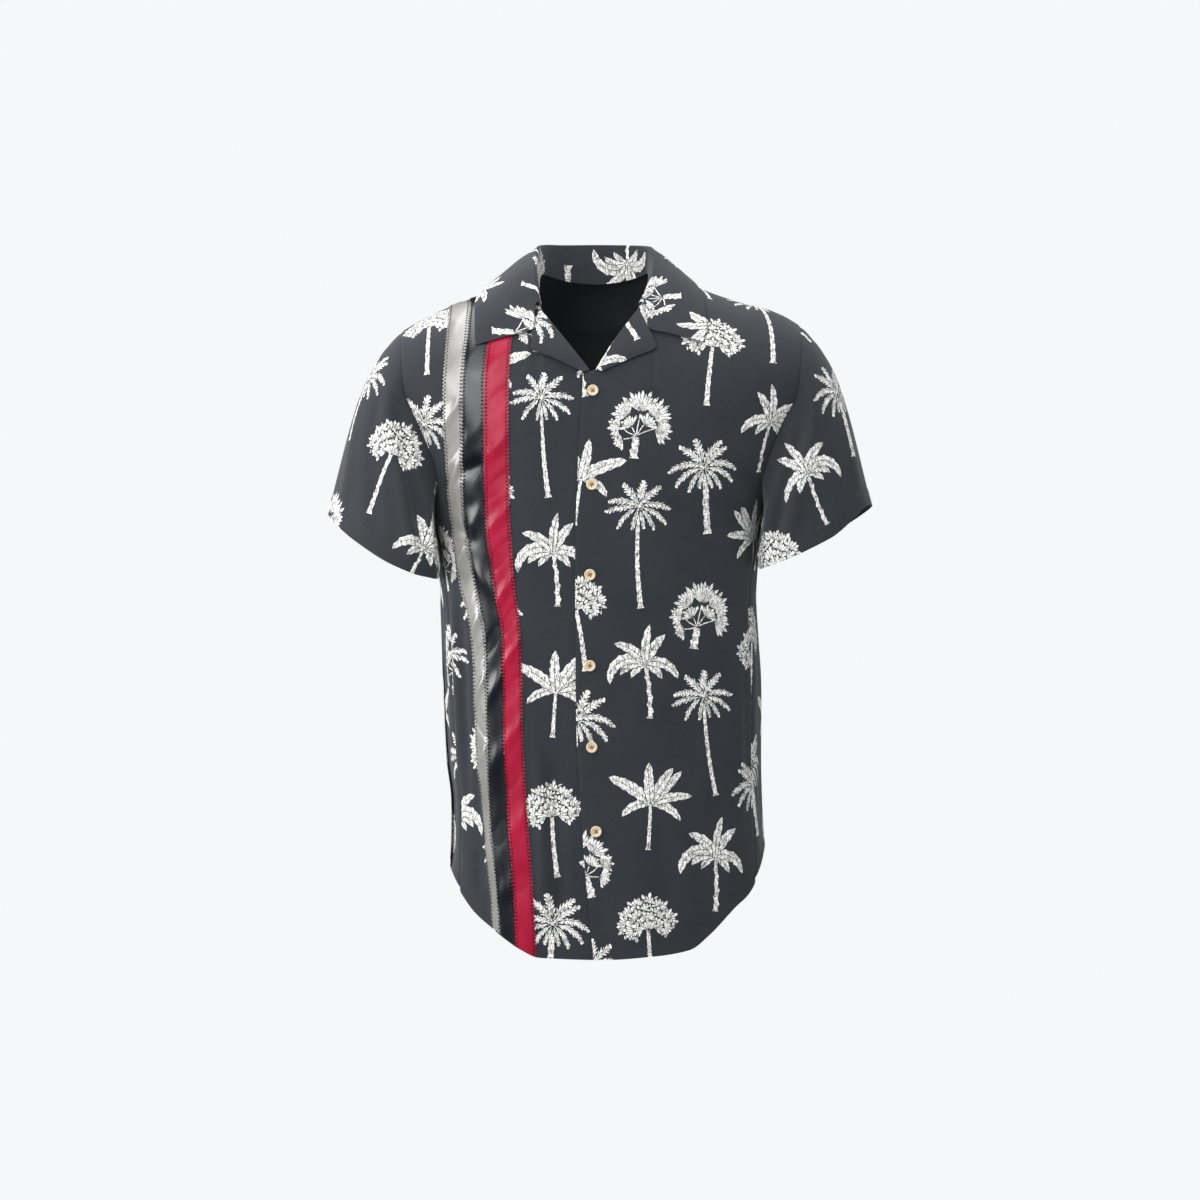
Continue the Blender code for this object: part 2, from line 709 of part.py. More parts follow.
def main():
    for item in list(bpy.data.objects):
        bpy.data.objects.remove(item)
    left, _ = make_left_front()
    right, right_normals = make_right_front()
    back = make_back()
    make_ribbons(right, right_normals)
    make_sleeve("sleeve_left", left, back, 0)
    make_sleeve("sleeve_right", right, back, -1)
    make_collar()
    make_lapel("lapel_right")
    make_lapel("lapel_left")
    for number, place in enumerate(button_places, start=1):
        make_button(number, place)


main()
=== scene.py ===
import bpy
import numpy as np
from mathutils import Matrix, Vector
from mathutils.bvhtree import BVHTree
from mathutils.geometry import delaunay_2d_cdt


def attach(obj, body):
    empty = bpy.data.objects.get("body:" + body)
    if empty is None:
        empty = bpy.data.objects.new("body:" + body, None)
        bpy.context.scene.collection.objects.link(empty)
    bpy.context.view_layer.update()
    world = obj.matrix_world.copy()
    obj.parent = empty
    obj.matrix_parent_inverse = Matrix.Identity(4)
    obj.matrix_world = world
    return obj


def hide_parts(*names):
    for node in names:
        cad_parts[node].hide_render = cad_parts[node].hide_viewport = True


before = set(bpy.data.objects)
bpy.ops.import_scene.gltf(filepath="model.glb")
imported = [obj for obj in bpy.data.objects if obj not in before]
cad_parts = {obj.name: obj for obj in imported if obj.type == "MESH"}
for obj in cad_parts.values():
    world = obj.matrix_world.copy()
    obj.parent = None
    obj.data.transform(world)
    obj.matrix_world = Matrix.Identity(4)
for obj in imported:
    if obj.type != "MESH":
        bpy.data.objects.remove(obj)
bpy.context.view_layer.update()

# All lengths are millimetres until a mesh is made. The front faces -Y and the wearer's left is +X.

bodyForm = {
    "sections": (  # height, middle, half width, front depth, back depth, middle front to back
        (40, -1, 250, 92, 98, 7), (0, 0, 252, 98, 106, 7), (-60, 1, 252, 106, 116, 6),
        (-100, 1, 250, 110, 120, 6), (-131, 1, 238, 112, 122, 5), (-165, 0, 216, 115, 122, 4),
        (-206, 0, 194, 116, 119, 3), (-235, -1, 181, 116, 117, 2), (-250, -2, 176, 115, 115, 2),
        (-300, -2, 170, 113, 110, 1), (-340, -2, 168, 111, 107, 1), (-388, 0, 169, 109, 102, 0),
        (-430, 2, 170, 108, 100, 0), (-514, 4, 168, 108, 101, 0), (-557, 7, 166, 109, 104, 0),
        (-600, 8, 167, 110, 107, 0), (-740, 8, 169, 111, 112, 0)),
    "cornerPower": 2.4,
    "armholeEdges": (  # height, degrees round from the side where the front and the back end
        (20, 36, 36), (-100, 36, 37), (-131, 33, 34), (-165, 31, 30), (-206, 29, 24), (-235, 20, 9),
        (-250, 6, -6)),
    "sideSeam": ((-250, 6), (-300, 16), (-350, 21), (-430, 24), (-740, 24)),
    "underarm": -250.0,
    "evenRowsEnd": -560.0,
    "shoulderLine": (  # across, height, how far down the cloth turns to the front
        (-228, -76, 82), (-211, -63, 86), (-193, -52, 92), (-173, -42, 100), (-150, -32, 110),
        (-118, -21, 126), (-90, -10, 140), (-66, 2, 150), (-4, 14, 155), (58, 4, 150), (90, -9, 140),
        (118, -21, 126), (145, -30, 112), (185, -41, 96), (212, -56, 86), (230, -70, 82)),
    "folds": (  # degrees round from the wearer's left side, width in degrees, top, bottom, depth
        (62, 9, -330, -760, 3.0), (101, 8, -420, -760, 2.6), (8, 9, -300, -620, 4.0),
        (172, 9, -290, -640, 4.5), (214, 12, -230, -760, 5.0), (243, 10, -330, -760, 6.0),
        (272, 13, -260, -760, 5.5), (301, 10, -350, -760, 6.0), (329, 12, -240, -760, 5.0)),
    "frontHem": (
        (-166, -612), (-158, -634), (-146, -655), (-131, -675), (-108, -694), (-84, -711), (-63, -720),
        (0, -722), (60, -718), (94, -712), (114, -697), (142, -668), (156, -655), (168, -632),
        (176, -600)),
    "backHem": (
        (-166, -612), (-158, -630), (-140, -660), (-100, -700), (-55, -720), (4, -727), (62, -722),
        (108, -704), (148, -664), (168, -628), (176, -600)),
    "lapEdge": ((20, -18), (-107, -18), (-200, -23), (-305, -26), (-469, -25), (-600, -18), (-722, -7)),
    "overlapStep": 2.6,
    "thickness": 0.7,
    "hem": 8.0,
}

ribbonForm = {
    "edges": (  # height, then white outer, white to black, black to red, red inner
        (20, -158, -136, -113, -89), (-31, -158.5, -136.5, -114, -90), (-131, -164, -144, -121, -95.5),
        (-243, -158.5, -143, -120, -94.5), (-330, -147, -130, -111, -89), (-386, -134, -120, -102, -83),
        (-504, -129, -116.5, -100, -80), (-556, -124, -115, -97, -77), (-689, -112, -104, -88.5, -68),
        (-740, -110, -102, -87, -66)),
    "step": ((-300, 0), (-386, 7), (-504, 13), (-600, 17), (-740, 18)),
    "lift": 0.45,
    "thickness": 0.5,
    "rowPitch": 1.0,
    "columns": 12,
    "hemFrom": 600,  # how far down the rows start to follow the hem
    "gaps": {"start": 1.2, "top": 0.6, "shoulder": 0.8, "hem": 1.0},
    "stitchPitch": 3.9,
    "stitchInset": 1.5,
    "pull": 0.28,  # how far each stitch draws the satin in, and the scallop that it leaves in the edge
    "scallop": 1.15,
    "crown": 0.35,
    "rippleRise": 1.6,
    "lowest": -0.7,
    "stitchRows": (("outer", 0.095), ("inner", 0.905)),  # how far across the ribbon each row runs
    "stitchHeight": 0.16,
    "stitchLength": 2.0,
    "stitchRadius": 0.9,
}


def smoothCurve(table, column, at):
    rows = sorted((row[0], row[column]) for row in table)
    xs = np.array([row[0] for row in rows], float)
    ys = np.array([row[1] for row in rows], float)
    steps = np.diff(xs)
    slopes = np.diff(ys) / steps
    inner = np.zeros(len(slopes) - 1)
    same = slopes[:-1] * slopes[1:] > 0
    inner[same] = 2 * slopes[:-1][same] * slopes[1:][same] / (slopes[:-1][same] + slopes[1:][same])
    ends = np.concatenate([slopes[:1], inner, slopes[-1:]])
    at = np.clip(np.asarray(at, float), xs[0], xs[-1])
    k = np.clip(np.searchsorted(xs, at) - 1, 0, len(steps) - 1)
    t = (at - xs[k]) / steps[k]
    rise = ys[k] * (1 + 2 * t) * (1 - t) ** 2 + ys[k + 1] * t * t * (3 - 2 * t)
    return rise + steps[k] * (ends[k] * t * (1 - t) ** 2 - ends[k + 1] * t * t * (1 - t))


def curveThrough(points, places, at):
    # A smooth curve through points that stand at those places along it.
    return np.stack([smoothCurve(tuple(zip(places, values)), 1, at) for values in points.T], axis=-1)


def smoothStep(x):
    x = np.clip(x, 0, 1)
    return x * x * (3 - 2 * x)


def unit(vectors):
    return vectors / np.maximum(np.linalg.norm(vectors, axis=-1, keepdims=True), 1e-9)


def crossed(first, second):
    # The signed area between two flat vectors.
    return first[..., 0] * second[..., 1] - first[..., 1] * second[..., 0]


def runAlong(line):
    # How far each point of a line is from its first one.
    return np.concatenate([[0], np.cumsum(np.linalg.norm(np.diff(line, axis=0), axis=-1))])


def riseAbove(grid):
    # How far each row is from the last one, up the cloth.
    steps = np.linalg.norm(np.diff(grid, axis=0), axis=-1)
    return np.concatenate([np.cumsum(steps[::-1], axis=0)[::-1], np.zeros((1, grid.shape[1]))])


def between(at, places, values):
    return np.stack([np.interp(at, places, values[:, axis]) for axis in range(values.shape[1])], axis=-1)


def flatAreas(spots, faces):
    a, b, c = (spots[faces[:, k]] for k in range(3))
    return crossed(b - a, c - a) / 2


def faceEdges(faces):
    return np.concatenate([faces[:, [0, 1]], faces[:, [1, 2]], faces[:, [2, 0]]])


def bodySection(z):
    return [smoothCurve(bodyForm["sections"], column, z) for column in range(1, 6)]


def angleAt(x, z):
    middle, half, _, _, _ = bodySection(z)
    share = np.clip((x - middle) / half, -1, 1)
    return np.degrees(np.arccos(np.sign(share) * np.abs(share) ** (bodyForm["cornerPower"] / 2)))


def foldDepth(angle, z):
    depth = np.zeros(np.broadcast(angle, z).shape)
    for centre, width, top, bottom, press in bodyForm["folds"]:
        near = np.exp(-(((angle - centre + 180) % 360 - 180) / width) ** 2)
        depth += press * near * smoothStep((top - z) / 140) * smoothStep((z - bottom) / 60 + 0.3)
    return depth


def ribbonTurn(x, z):
    inner = smoothCurve(ribbonForm["edges"], 2, z)
    outer = smoothCurve(ribbonForm["edges"], 1, z)
    return smoothCurve(ribbonForm["step"], 1, z) * smoothStep((inner + 2 - x) / (inner - outer + 6))


def bodyPoint(angle, z):
    angle, z = np.broadcast_arrays(np.asarray(angle, float), np.asarray(z, float))
    middle, half, front, back, centre = bodySection(z)
    power = 2 / bodyForm["cornerPower"]
    turned = np.cos(np.radians(angle))
    x = middle + half * np.sign(turned) * np.abs(turned) ** power
    forward = np.sin(np.radians(angle))
    depth = np.where(forward >= 0, front, back) * np.abs(forward) ** power
    turn = smoothCurve(bodyForm["shoulderLine"], 2, x)
    below = np.clip((smoothCurve(bodyForm["shoulderLine"], 1, x) - z) / turn, 0, 1)
    depth = depth * np.sqrt(1 - (1 - below) ** 2)
    press = foldDepth(angle, z)
    depth = np.maximum(depth - press * np.abs(forward), 0)
    y = centre - np.sign(forward) * depth + np.where(forward > 0, ribbonTurn(x, z), 0)
    x = x - press * np.sign(x) * np.abs(turned)
    return np.stack([x, y, z], axis=-1)


def outsideBy(points):
    def level(p):
        middle, half, front, back, centre = bodySection(p[..., 2])
        share = np.clip(np.abs(p[..., 0] - middle) / half, 0, 0.999)
        wide = (1 - share ** bodyForm["cornerPower"]) ** (1 / bodyForm["cornerPower"])
        depth = np.where(p[..., 1] < centre, front, back) * wide
        turn = smoothCurve(bodyForm["shoulderLine"], 2, p[..., 0])
        height = smoothCurve(bodyForm["shoulderLine"], 1, p[..., 0])
        above = np.maximum(p[..., 2] - (height - turn), 0) / turn
        return np.sqrt(((p[..., 1] - centre) / depth) ** 2 + above ** 2) - 1

    slope = np.stack([level(points + 0.5 * axis) - level(points - 0.5 * axis) for axis in np.eye(3)], axis=-1)
    size = np.linalg.norm(slope, axis=-1)
    return level(points) / size, slope / size[..., None]


def lifted(points, lift, settle=False):
    points = np.array(points, float)
    for _ in range(8):
        distance, away = outsideBy(points)
        short = lift - distance
        points += (short if settle else np.maximum(short, 0))[..., None] * away
    return points


def gridNormals(grid):
    return unit(np.cross(np.gradient(grid, axis=1), np.gradient(grid, axis=0)))


def facingOut(grid, normals):
    away = grid - np.array([0, 3, 0])
    away[..., 2] = 0
    return normals if (away * normals).sum() > 0 else -normals


# How deep a crease is pressed for each unit of its depth, and the low bank on each side of it.
creaseForm = {"press": 1.9, "bank": 0.38, "bankWidth": 2.2}

# Creases, listed one by one: which side, the line across and down, its width and depth. A minus depth is a
# ridge.
creaseLines = {
    "front": (
        (((-64, -478), (-62, -560), (-55, -700)), 8, -2.4),
        (((-50, -500), (-47, -600), (-40, -712)), 8, 2.0),
        (((-34, -560), (-30, -650), (-26, -715)), 11, -1.2),
        (((60, -540), (66, -640), (72, -716)), 14, 1.9),
        (((88, -560), (96, -640), (103, -700)), 12, -1.7),
        (((118, -400), (124, -520), (128, -660)), 11, 2.0),
        (((140, -380), (145, -480), (148, -600)), 9, -1.6),
        (((-147, -330), (-143, -430), (-139, -560)), 7, 1.8),
        (((-156, -300), (-152, -400), (-148, -520)), 6, -1.4),
        (((-128, -600), (-126, -660)), 8, 1.4),
        (((172, -232), (138, -205), (96, -190)), 9, 1.7),
        (((170, -246), (128, -236), (92, -232)), 9, -1.4),
        (((168, -262), (132, -266), (100, -276)), 8, 1.3),
        (((-174, -236), (-150, -214), (-118, -200)), 8, 1.2),
        (((-172, -262), (-150, -272), (-126, -290)), 8, 1.2),
        (((36, -122), (66, -150), (84, -188)), 10, 1.0),
        (((-40, -120), (-60, -150), (-72, -190)), 10, 0.8),
        (((20, -250), (60, -262), (98, -258)), 12, 0.9),
        (((8, -350), (48, -366), (92, -360)), 13, 0.9),
        (((6, -452), (40, -470), (84, -474)), 12, 0.9),
        (((0, -700), (3, -655)), 9, 1.1),
        (((38, -712), (34, -668)), 9, -1.0),
    ),
    "back": (
        (((158, -176), (112, -236), (80, -330), (70, -420)), 12, 2.4),
        (((140, -160), (88, -230), (56, -310)), 11, -1.8),
        (((-158, -180), (-116, -246), (-88, -340), (-80, -440)), 12, 2.4),
        (((-136, -168), (-92, -240), (-64, -330)), 11, -1.6),
        (((-52, -46), (0, -58), (46, -44)), 10, 1.4),
        (((-88, -84), (-10, -102), (84, -88)), 16, 1.2),
        (((-84, -424), (-10, -442), (66, -420)), 10, 1.5),
        (((-60, -470), (20, -488), (96, -470)), 9, -1.2),
        (((-112, -520), (-40, -540), (28, -534)), 10, 1.3),
        (((-30, -560), (-34, -720)), 10, 1.5),
        (((34, -590), (38, -720)), 9, -1.5),
        (((96, -600), (100, -700)), 9, 1.4),
        (((-98, -590), (-104, -700)), 9, -1.4),
    ),
    "sleeve": (  # degrees round from the shoulder to the front, share of the way down
        (((52, 0.10), (92, 0.42), (126, 0.98)), 9, -2.6),
        (((66, 0.08), (112, 0.45), (142, 0.98)), 8, 3.2),
        (((84, 0.10), (132, 0.5), (158, 0.98)), 7, -2.0),
        (((34, 0.16), (62, 0.5), (84, 0.98)), 11, 1.6),
        (((14, 0.30), (26, 0.62), (40, 0.99)), 12, -1.3),
        (((4, 0.05), (2, 0.30)), 9, 1.0),
        (((342, 0.28), (336, 0.62), (330, 0.99)), 12, 1.6),
        (((300, 0.10), (262, 0.46), (236, 0.98)), 9, 3.0),
        (((314, 0.14), (284, 0.5), (262, 0.98)), 9, -2.2),
        (((282, 0.08), (238, 0.5), (208, 0.98)), 8, -2.0),
    ),
}


def creasePaths():
    paths = []
    for side, hand in (("front", 1), ("back", -1)):
        for line, width, depth in creaseLines[side]:
            stations = np.array(line, float)
            fine = np.linspace(0, len(line) - 1, 6 * (len(line) - 1) + 1)
            x, z = between(fine, np.arange(len(line)), stations).T
            paths.append((bodyPoint(hand * angleAt(x, z), z), width, depth))
    return paths


def creaseShift(points, paths):
    flat = points.reshape(-1, 3)
    shift = np.zeros(len(flat))
    for path, width, depth in paths:
        away = np.abs(flat - path.mean(axis=0))
        near = np.where((away < np.ptp(path, axis=0) / 2 + 4 * width).all(axis=1))[0]
        if not len(near):
            continue
        here = flat[near]
        best = np.full(len(near), 1e9)
        along = np.zeros(len(near))
        steps = np.linalg.norm(np.diff(path, axis=0), axis=1)
        run = np.concatenate([[0], np.cumsum(steps)])
        for start, end, length, before in zip(path[:-1], path[1:], steps, run):
            t = np.clip(((here - start) @ (end - start)) / length ** 2, 0, 1)
            gap = np.linalg.norm(here - start - t[:, None] * (end - start), axis=1)
            closer = gap < best
            best[closer] = gap[closer]
            along[closer] = (before + t[closer] * length) / run[-1]
        fade = smoothStep(along / 0.35) * smoothStep((1.0 - along) / 0.3 + 0.15)
        bank = creaseForm["bank"] * np.exp(-(best / (creaseForm["bankWidth"] * width)) ** 2)
        bowl = np.exp(-(best / width) ** 2) - bank
        shift[near] -= creaseForm["press"] * depth * fade * bowl
    return shift.reshape(points.shape[:-1])


# The print: six kinds of palm built up from leaf shapes, each leaf drawn over those behind it.

palmPrint = {
    "columnPitch": 69.0,
    "rowPitch": 134.0,
    "size": 0.97,
    "gap": 0.42,
    "halo": 0.75,
    "trunkRing": 3.6,
    "order": (0, 4, 2, 5, 1, 3),
    "leastTriangle": 0.004,
    "leastPiece": 1.3,
    "leastShown": 75.0,
}


def pathFrom(start, heading, length, bend, steps):
    turn = np.radians(heading + bend * np.linspace(0, 1, steps + 1))
    middle = (turn[1:] + turn[:-1]) / 2
    moves = np.stack([np.cos(middle), np.sin(middle)], axis=-1) * length / steps
    points = np.array(start, float) + np.concatenate([np.zeros((1, 2)), np.cumsum(moves, axis=0)])
    ahead = np.stack([np.cos(turn), np.sin(turn)], axis=-1)
    return points, ahead, np.stack([-ahead[:, 1], ahead[:, 0]], axis=-1)


def addShape(shapes, points, inked):
    points = np.array(points, float)
    following = np.roll(points, -1, axis=0)
    shapes.append((points if crossed(points, following).sum() > 0 else points[::-1], inked))


def leafReach(width, steps, fullness):
    share = np.linspace(0, 1, steps + 1)
    return width * np.sin(np.pi * (0.05 + 0.93 * share ** 0.8)) ** fullness


def bladeLeaf(shapes, start, heading, length, bend, width, cells, sweep, fullness, ragged):
    # A broad leaf: a bare midrib, bare veins that lean forward, and a torn edge.
    points, ahead, side = pathFrom(start, heading, length, bend, cells)
    reach = leafReach(width, cells, fullness)
    halo = palmPrint["halo"]
    tip = points[-1] + 1.2 * ahead[-1]
    rim, blade = {}, {}
    for hand in (1, -1):
        wave = 1 + ragged * np.sin(2.4 * np.arange(cells + 1) + heading + hand)
        edge = points + ahead * (sweep * reach)[:, None] + hand * side * (reach * wave)[:, None]
        rim[hand] = edge + halo * hand * side
        line = []
        for k in range(cells):
            line.append(edge[k])
            if (k + int(heading) // 7 + hand) % 3 == 0 and 0 < k < cells - 1:
                torn = edge[k] * 0.45 + edge[k + 1] * 0.55
                deep = torn - hand * side[k] * reach[k] * 0.55 - ahead[k] * 1.4
                line += [torn - ahead[k] * 0.5, deep, torn + ahead[k] * 0.35]
        blade[hand] = line
    addShape(shapes, [*rim[1], tip + ahead[-1] * halo, *rim[-1][::-1]], False)
    addShape(shapes, [*blade[1], tip, *blade[-1][::-1]], True)
    slit = side * np.linspace(0.42, 0.12, cells + 1)[:, None]
    addShape(shapes, [*(points + slit), *(points - slit)[::-1]], False)
    for hand in (1, -1):
        for k in range(1, cells):
            root = points[k] + hand * side[k] * 0.3
            share = 0.78 if (k + hand) % 2 else 0.55
            end = root + (ahead[k] * 0.62 + hand * side[k] * 0.78) * reach[k] * share
            addShape(shapes, [root - ahead[k] * 0.26, end, root + ahead[k] * 0.26], False)


def featherLeaf(shapes, start, heading, length, bend, width, leaflets):
    # A feather leaf: long leaflets that lean forward and hang, joined near a bare rib.
    points, ahead, side = pathFrom(start, heading, length, bend, leaflets)
    reach = leafReach(width, leaflets, 0.62)
    halo = palmPrint["halo"]
    hang = np.array([0, -0.42])
    rim, blade = {}, {}
    for hand in (1, -1):
        out = unit(ahead * 1.0 + hand * side * 0.62 + hang)
        rim[hand] = points + out * reach[:, None] + halo * hand * side
        line = []
        for k in range(leaflets):
            step = points[k + 1] - points[k]
            size = reach[k] * (1.3, 0.95, 1.15)[(k + hand + int(heading)) % 3] + 0.8
            root = points[k] + out[k] * reach[k] * 0.42
            line += [root, points[k] + step * 0.35 + out[k] * size]
            line.append(points[k] + step * 0.62 + out[k] * (size * 0.9))
        blade[hand] = line
    tip = points[-1] + ahead[-1] * (reach[-1] + 1.5)
    addShape(shapes, [*rim[1], tip + ahead[-1] * halo, *rim[-1][::-1]], False)
    addShape(shapes, [points[0], *blade[1], tip, *blade[-1][::-1]], True)
    slit = side * np.linspace(0.3, 0.1, leaflets + 1)[:, None]
    addShape(shapes, [*(points + slit)[1:], *(points - slit)[:0:-1]], False)
    for k in range(1, leaflets - 1):
        for hand in (1, -1):
            root = points[k] + hand * side[k] * 0.5
            end = root + unit(ahead[k] * 1.0 + hand * side[k] * 0.5 + hang) * reach[k] * 0.7
            addShape(shapes, [root - ahead[k] * 0.1, end, root + ahead[k] * 0.34], False)


def fanLeaf(shapes, hub, heading, radius, spread, rays, ragged):
    # A fan leaf: pointed rays from one hub.
    hub = np.array(hub, float)
    turns = np.radians(heading + spread * (np.linspace(0, 1, rays) - 0.5))
    half = np.radians(spread) / (rays - 1) / 2
    reach = radius * (1 + ragged * np.sin(2.7 * np.arange(rays) + heading))

    def at(turn, distance):
        return hub + distance * np.array([np.cos(turn), np.sin(turn)])

    rim = [hub - 0.8 * np.array([np.cos(np.radians(heading)), np.sin(np.radians(heading))])]
    rim += [at(turn, distance + palmPrint["halo"]) for turn, distance in zip(turns, reach)]
    addShape(shapes, rim, False)
    for turn, distance in zip(turns, reach):
        wide = half - palmPrint["gap"] / 2 / (0.8 * distance)
        low, high = (at(turn + way * wide, 0.84 * distance) for way in (-1, 1))
        addShape(shapes, [at(turn, 0.08 * distance), low, at(turn, distance), high], True)


def stemStrip(shapes, points, width):
    points = np.array(points, float)
    side = unit(np.gradient(points, axis=0))[:, ::-1] * np.array([-1, 1])
    for extra, inked in ((0.6, False), (0, True)):
        half = side * (width / 2 + extra)
        addShape(shapes, [*(points + half), *(points - half)[::-1]], inked)


def ringedTrunk(shapes, top, foot, topWidth, footWidth, bow=0.0, knobs=0.0):
    # A trunk with a rough edge and short bare cuts from each side in turn.
    top, foot = np.array(top, float), np.array(foot, float)
    rings = max(4, int(np.linalg.norm(foot - top) / palmPrint["trunkRing"]))
    share = np.linspace(0, 1, rings + 1)
    middle = top + share[:, None] * (foot - top)
    middle = middle + np.stack([bow * np.sin(np.pi * share), 0 * share], axis=-1)
    width = topWidth + (footWidth - topWidth) * share ** 1.3
    width[-1] *= 1.3
    down = unit(np.gradient(middle, axis=0))
    side = down[:, ::-1] * np.array([-1, 1])
    rough = {}
    for hand in (1, -1):
        wave = np.sin(2.2 * np.arange(rings + 1) * (1.3 + 0.4 * hand))
        rough[hand] = (width / 2 * (1 + 0.16 * wave))[:, None]
    halo = palmPrint["halo"] * 0.7
    right, left = middle + side * (rough[1] + halo), middle - side * (rough[-1] + halo)
    addShape(shapes, [*right, *left[::-1]], False)
    edge = {1: [], -1: []}
    for k in range(rings + 1):
        for hand in (1, -1):
            out = knobs if (k + hand) % 4 == 1 else 0
            edge[hand].append(middle[k] + hand * side[k] * (rough[hand][k] + out) - down[k] * out * 0.5)
    addShape(shapes, [*edge[1], *edge[-1][::-1]], True)
    for k in range(rings):
        hand = 1 if k % 2 else -1
        root = (middle[k] + middle[k + 1]) / 2 + hand * side[k] * (width[k] / 2 + 0.8)
        end = root - hand * side[k] * (width[k] * (0.62 if k % 3 else 0.9) + 0.8) + down[k] * 0.8
        addShape(shapes, [root - down[k] * 0.42, end, root + down[k] * 0.34], False)


# The six palms. A trunk has its top, foot, both widths, bow and knobs. Feathers and blades have a heading,
# length, bend, width and number of leaflets, and fans a hub, heading, radius, spread and number of rays.
palms = {
    "coconut": {
        "trunk": ((0, 20), (1.5, -52), 5.4, 8.2), "crown": (0, 20), "feathers": (
            (-62, 22, -14, 5.0, 6), (246, 21, 12, 5.2, 6), (98, 30, 14, 5.8, 7), (-30, 29, -42, 5.8, 7),
            (214, 30, 38, 5.8, 7), (74, 33, -40, 6.0, 8), (178, 38, 62, 6.2, 8), (6, 37, -64, 6.2, 8),
            (120, 34, 34, 5.8, 8), (34, 40, -78, 6.4, 9), (148, 41, 72, 6.4, 9), (54, 32, -30, 5.4, 7))},
    "slim": {
        "trunk": ((-2, 40), (4, -66), 3.4, 5.4, -2.5), "crown": (-2, 40), "feathers": (
            (-70, 22, -8, 4.6, 6), (250, 24, 10, 4.8, 6), (-36, 28, -34, 5.2, 7), (204, 32, 46, 5.2, 7),
            (92, 25, -18, 5.4, 7), (-4, 34, -50, 5.6, 8), (176, 35, 30, 5.8, 8), (118, 27, 22, 5.6, 7),
            (28, 33, -58, 5.8, 8), (148, 32, 50, 5.8, 8), (60, 29, -26, 5.4, 7))},
    "banana": {
        "trunk": ((0, 2), (-0.5, -50), 3.4, 4.6), "crown": (0, 3), "crownRadius": 0.6, "blades": (
            (2, 40, -58, 4.6, 10), (178, 36, 58, 4.6, 9), (24, 48, -24, 5.0, 12), (138, 54, 26, 6.6, 13),
            (46, 50, 2, 4.8, 12), (66, 46, -14, 5.6, 11), (100, 44, -12, 5.6, 11)),
        "sweep": 0.15, "fullness": 0.42, "ragged": 0.12},
    "fan": {
        "trunk": ((5, -16), (8, -40), 7, 8, 0.0, 1.4), "stemWidth": 1.2, "stems": (
            ((5, -14), (-4, -10), (-16, -6)), ((5, -14), (-2, -4), (-11, 6)), ((5, -14), (3, -2), (0, 12)),
            ((5, -14), (10, -4), (13, 9)), ((6, -14), (15, -10), (22, -3)), ((6, -15), (13, -17), (20, -18))),
        "fans": (
            ((20, -18), -18, 12, 130, 8), ((-16, -6), 190, 20, 120, 11), ((22, -3), 6, 15, 120, 9),
            ((-11, 6), 142, 24, 120, 12), ((13, 9), 40, 19, 120, 10), ((0, 12), 96, 25, 110, 11),
            ((-5, -3), 128, 14, 120, 8), ((10, -4), 52, 13, 120, 8)), "ragged": 0.12},
    "bushy": {  # a full dome of fan leaves, laid like tiles from the top down
        "trunk": ((0, 14), (1, -58), 3.8, 5.2, 1.2), "fans": (
            ((-2, 31), 104, 14, 140, 9), ((9, 28), 62, 14, 140, 9), ((-12, 25), 142, 14, 140, 9),
            ((17, 21), 28, 14, 140, 9), ((1, 23), 84, 13, 140, 9), ((-20, 15), 176, 13, 140, 9),
            ((21, 13), 2, 13, 140, 9), ((-8, 18), 126, 13, 140, 8), ((10, 17), 50, 13, 140, 8),
            ((-15, 9), 206, 12, 140, 8), ((15, 8), -24, 12, 140, 8), ((0, 15), 96, 12, 140, 7),
            ((-6, 9), 158, 12, 140, 7), ((6, 9), 18, 12, 140, 7), ((0, 7), 88, 11, 140, 7)), "ragged": 0.16},
    "droop": {
        "trunk": ((0, 6), (-1, -52), 3.2, 4.6, -1.5, 1.3), "crown": (0, 7), "crownRadius": 0.0, "blades": (
            (-24, 21, -36, 3.8, 6), (206, 24, 40, 4.2, 7), (166, 42, 84, 5.2, 11), (14, 30, -70, 4.6, 8),
            (40, 54, -132, 5.6, 15), (118, 36, 24, 5.0, 9), (62, 38, -52, 5.0, 10), (92, 40, 20, 4.4, 9)),
        "sweep": 0.1, "fullness": 0.5, "ragged": 0.16},
}


def drawPalm(palm):
    shapes = []
    ringedTrunk(shapes, *palm["trunk"])
    for leaf in palm.get("feathers", ()):
        featherLeaf(shapes, palm["crown"], *leaf)
    for leaf in palm.get("blades", ()):
        turn = np.radians(leaf[0])
        foot = palm["crown"] + palm["crownRadius"] * np.array([np.cos(turn), np.sin(turn)])
        bladeLeaf(shapes, foot, *leaf, palm["sweep"], palm["fullness"], palm["ragged"])
    for stem in palm.get("stems", ()):
        stemStrip(shapes, stem, palm["stemWidth"])
    for leaf in palm.get("fans", ()):
        fanLeaf(shapes, *leaf, palm["ragged"])
    return shapes


def wholePieces(faces, sizes, least):
    # Leaves out the scraps: pieces joined edge to edge whose area is under the least.
    ends = np.sort(faceEdges(faces), axis=1)
    owner = np.tile(np.arange(len(faces)), 3)
    order = np.lexsort((ends[:, 1], ends[:, 0]))
    ends, owner = ends[order], owner[order]
    shared = np.where((ends[1:] == ends[:-1]).all(axis=1))[0]
    first, second = owner[shared], owner[shared + 1]
    label = np.arange(len(faces))
    while True:
        low = np.minimum(label[first], label[second])
        following = label.copy()
        np.minimum.at(following, first, low)
        np.minimum.at(following, second, low)
        if (following == label).all():
            break
        label = following
    return np.bincount(label, sizes, len(faces))[label] > least


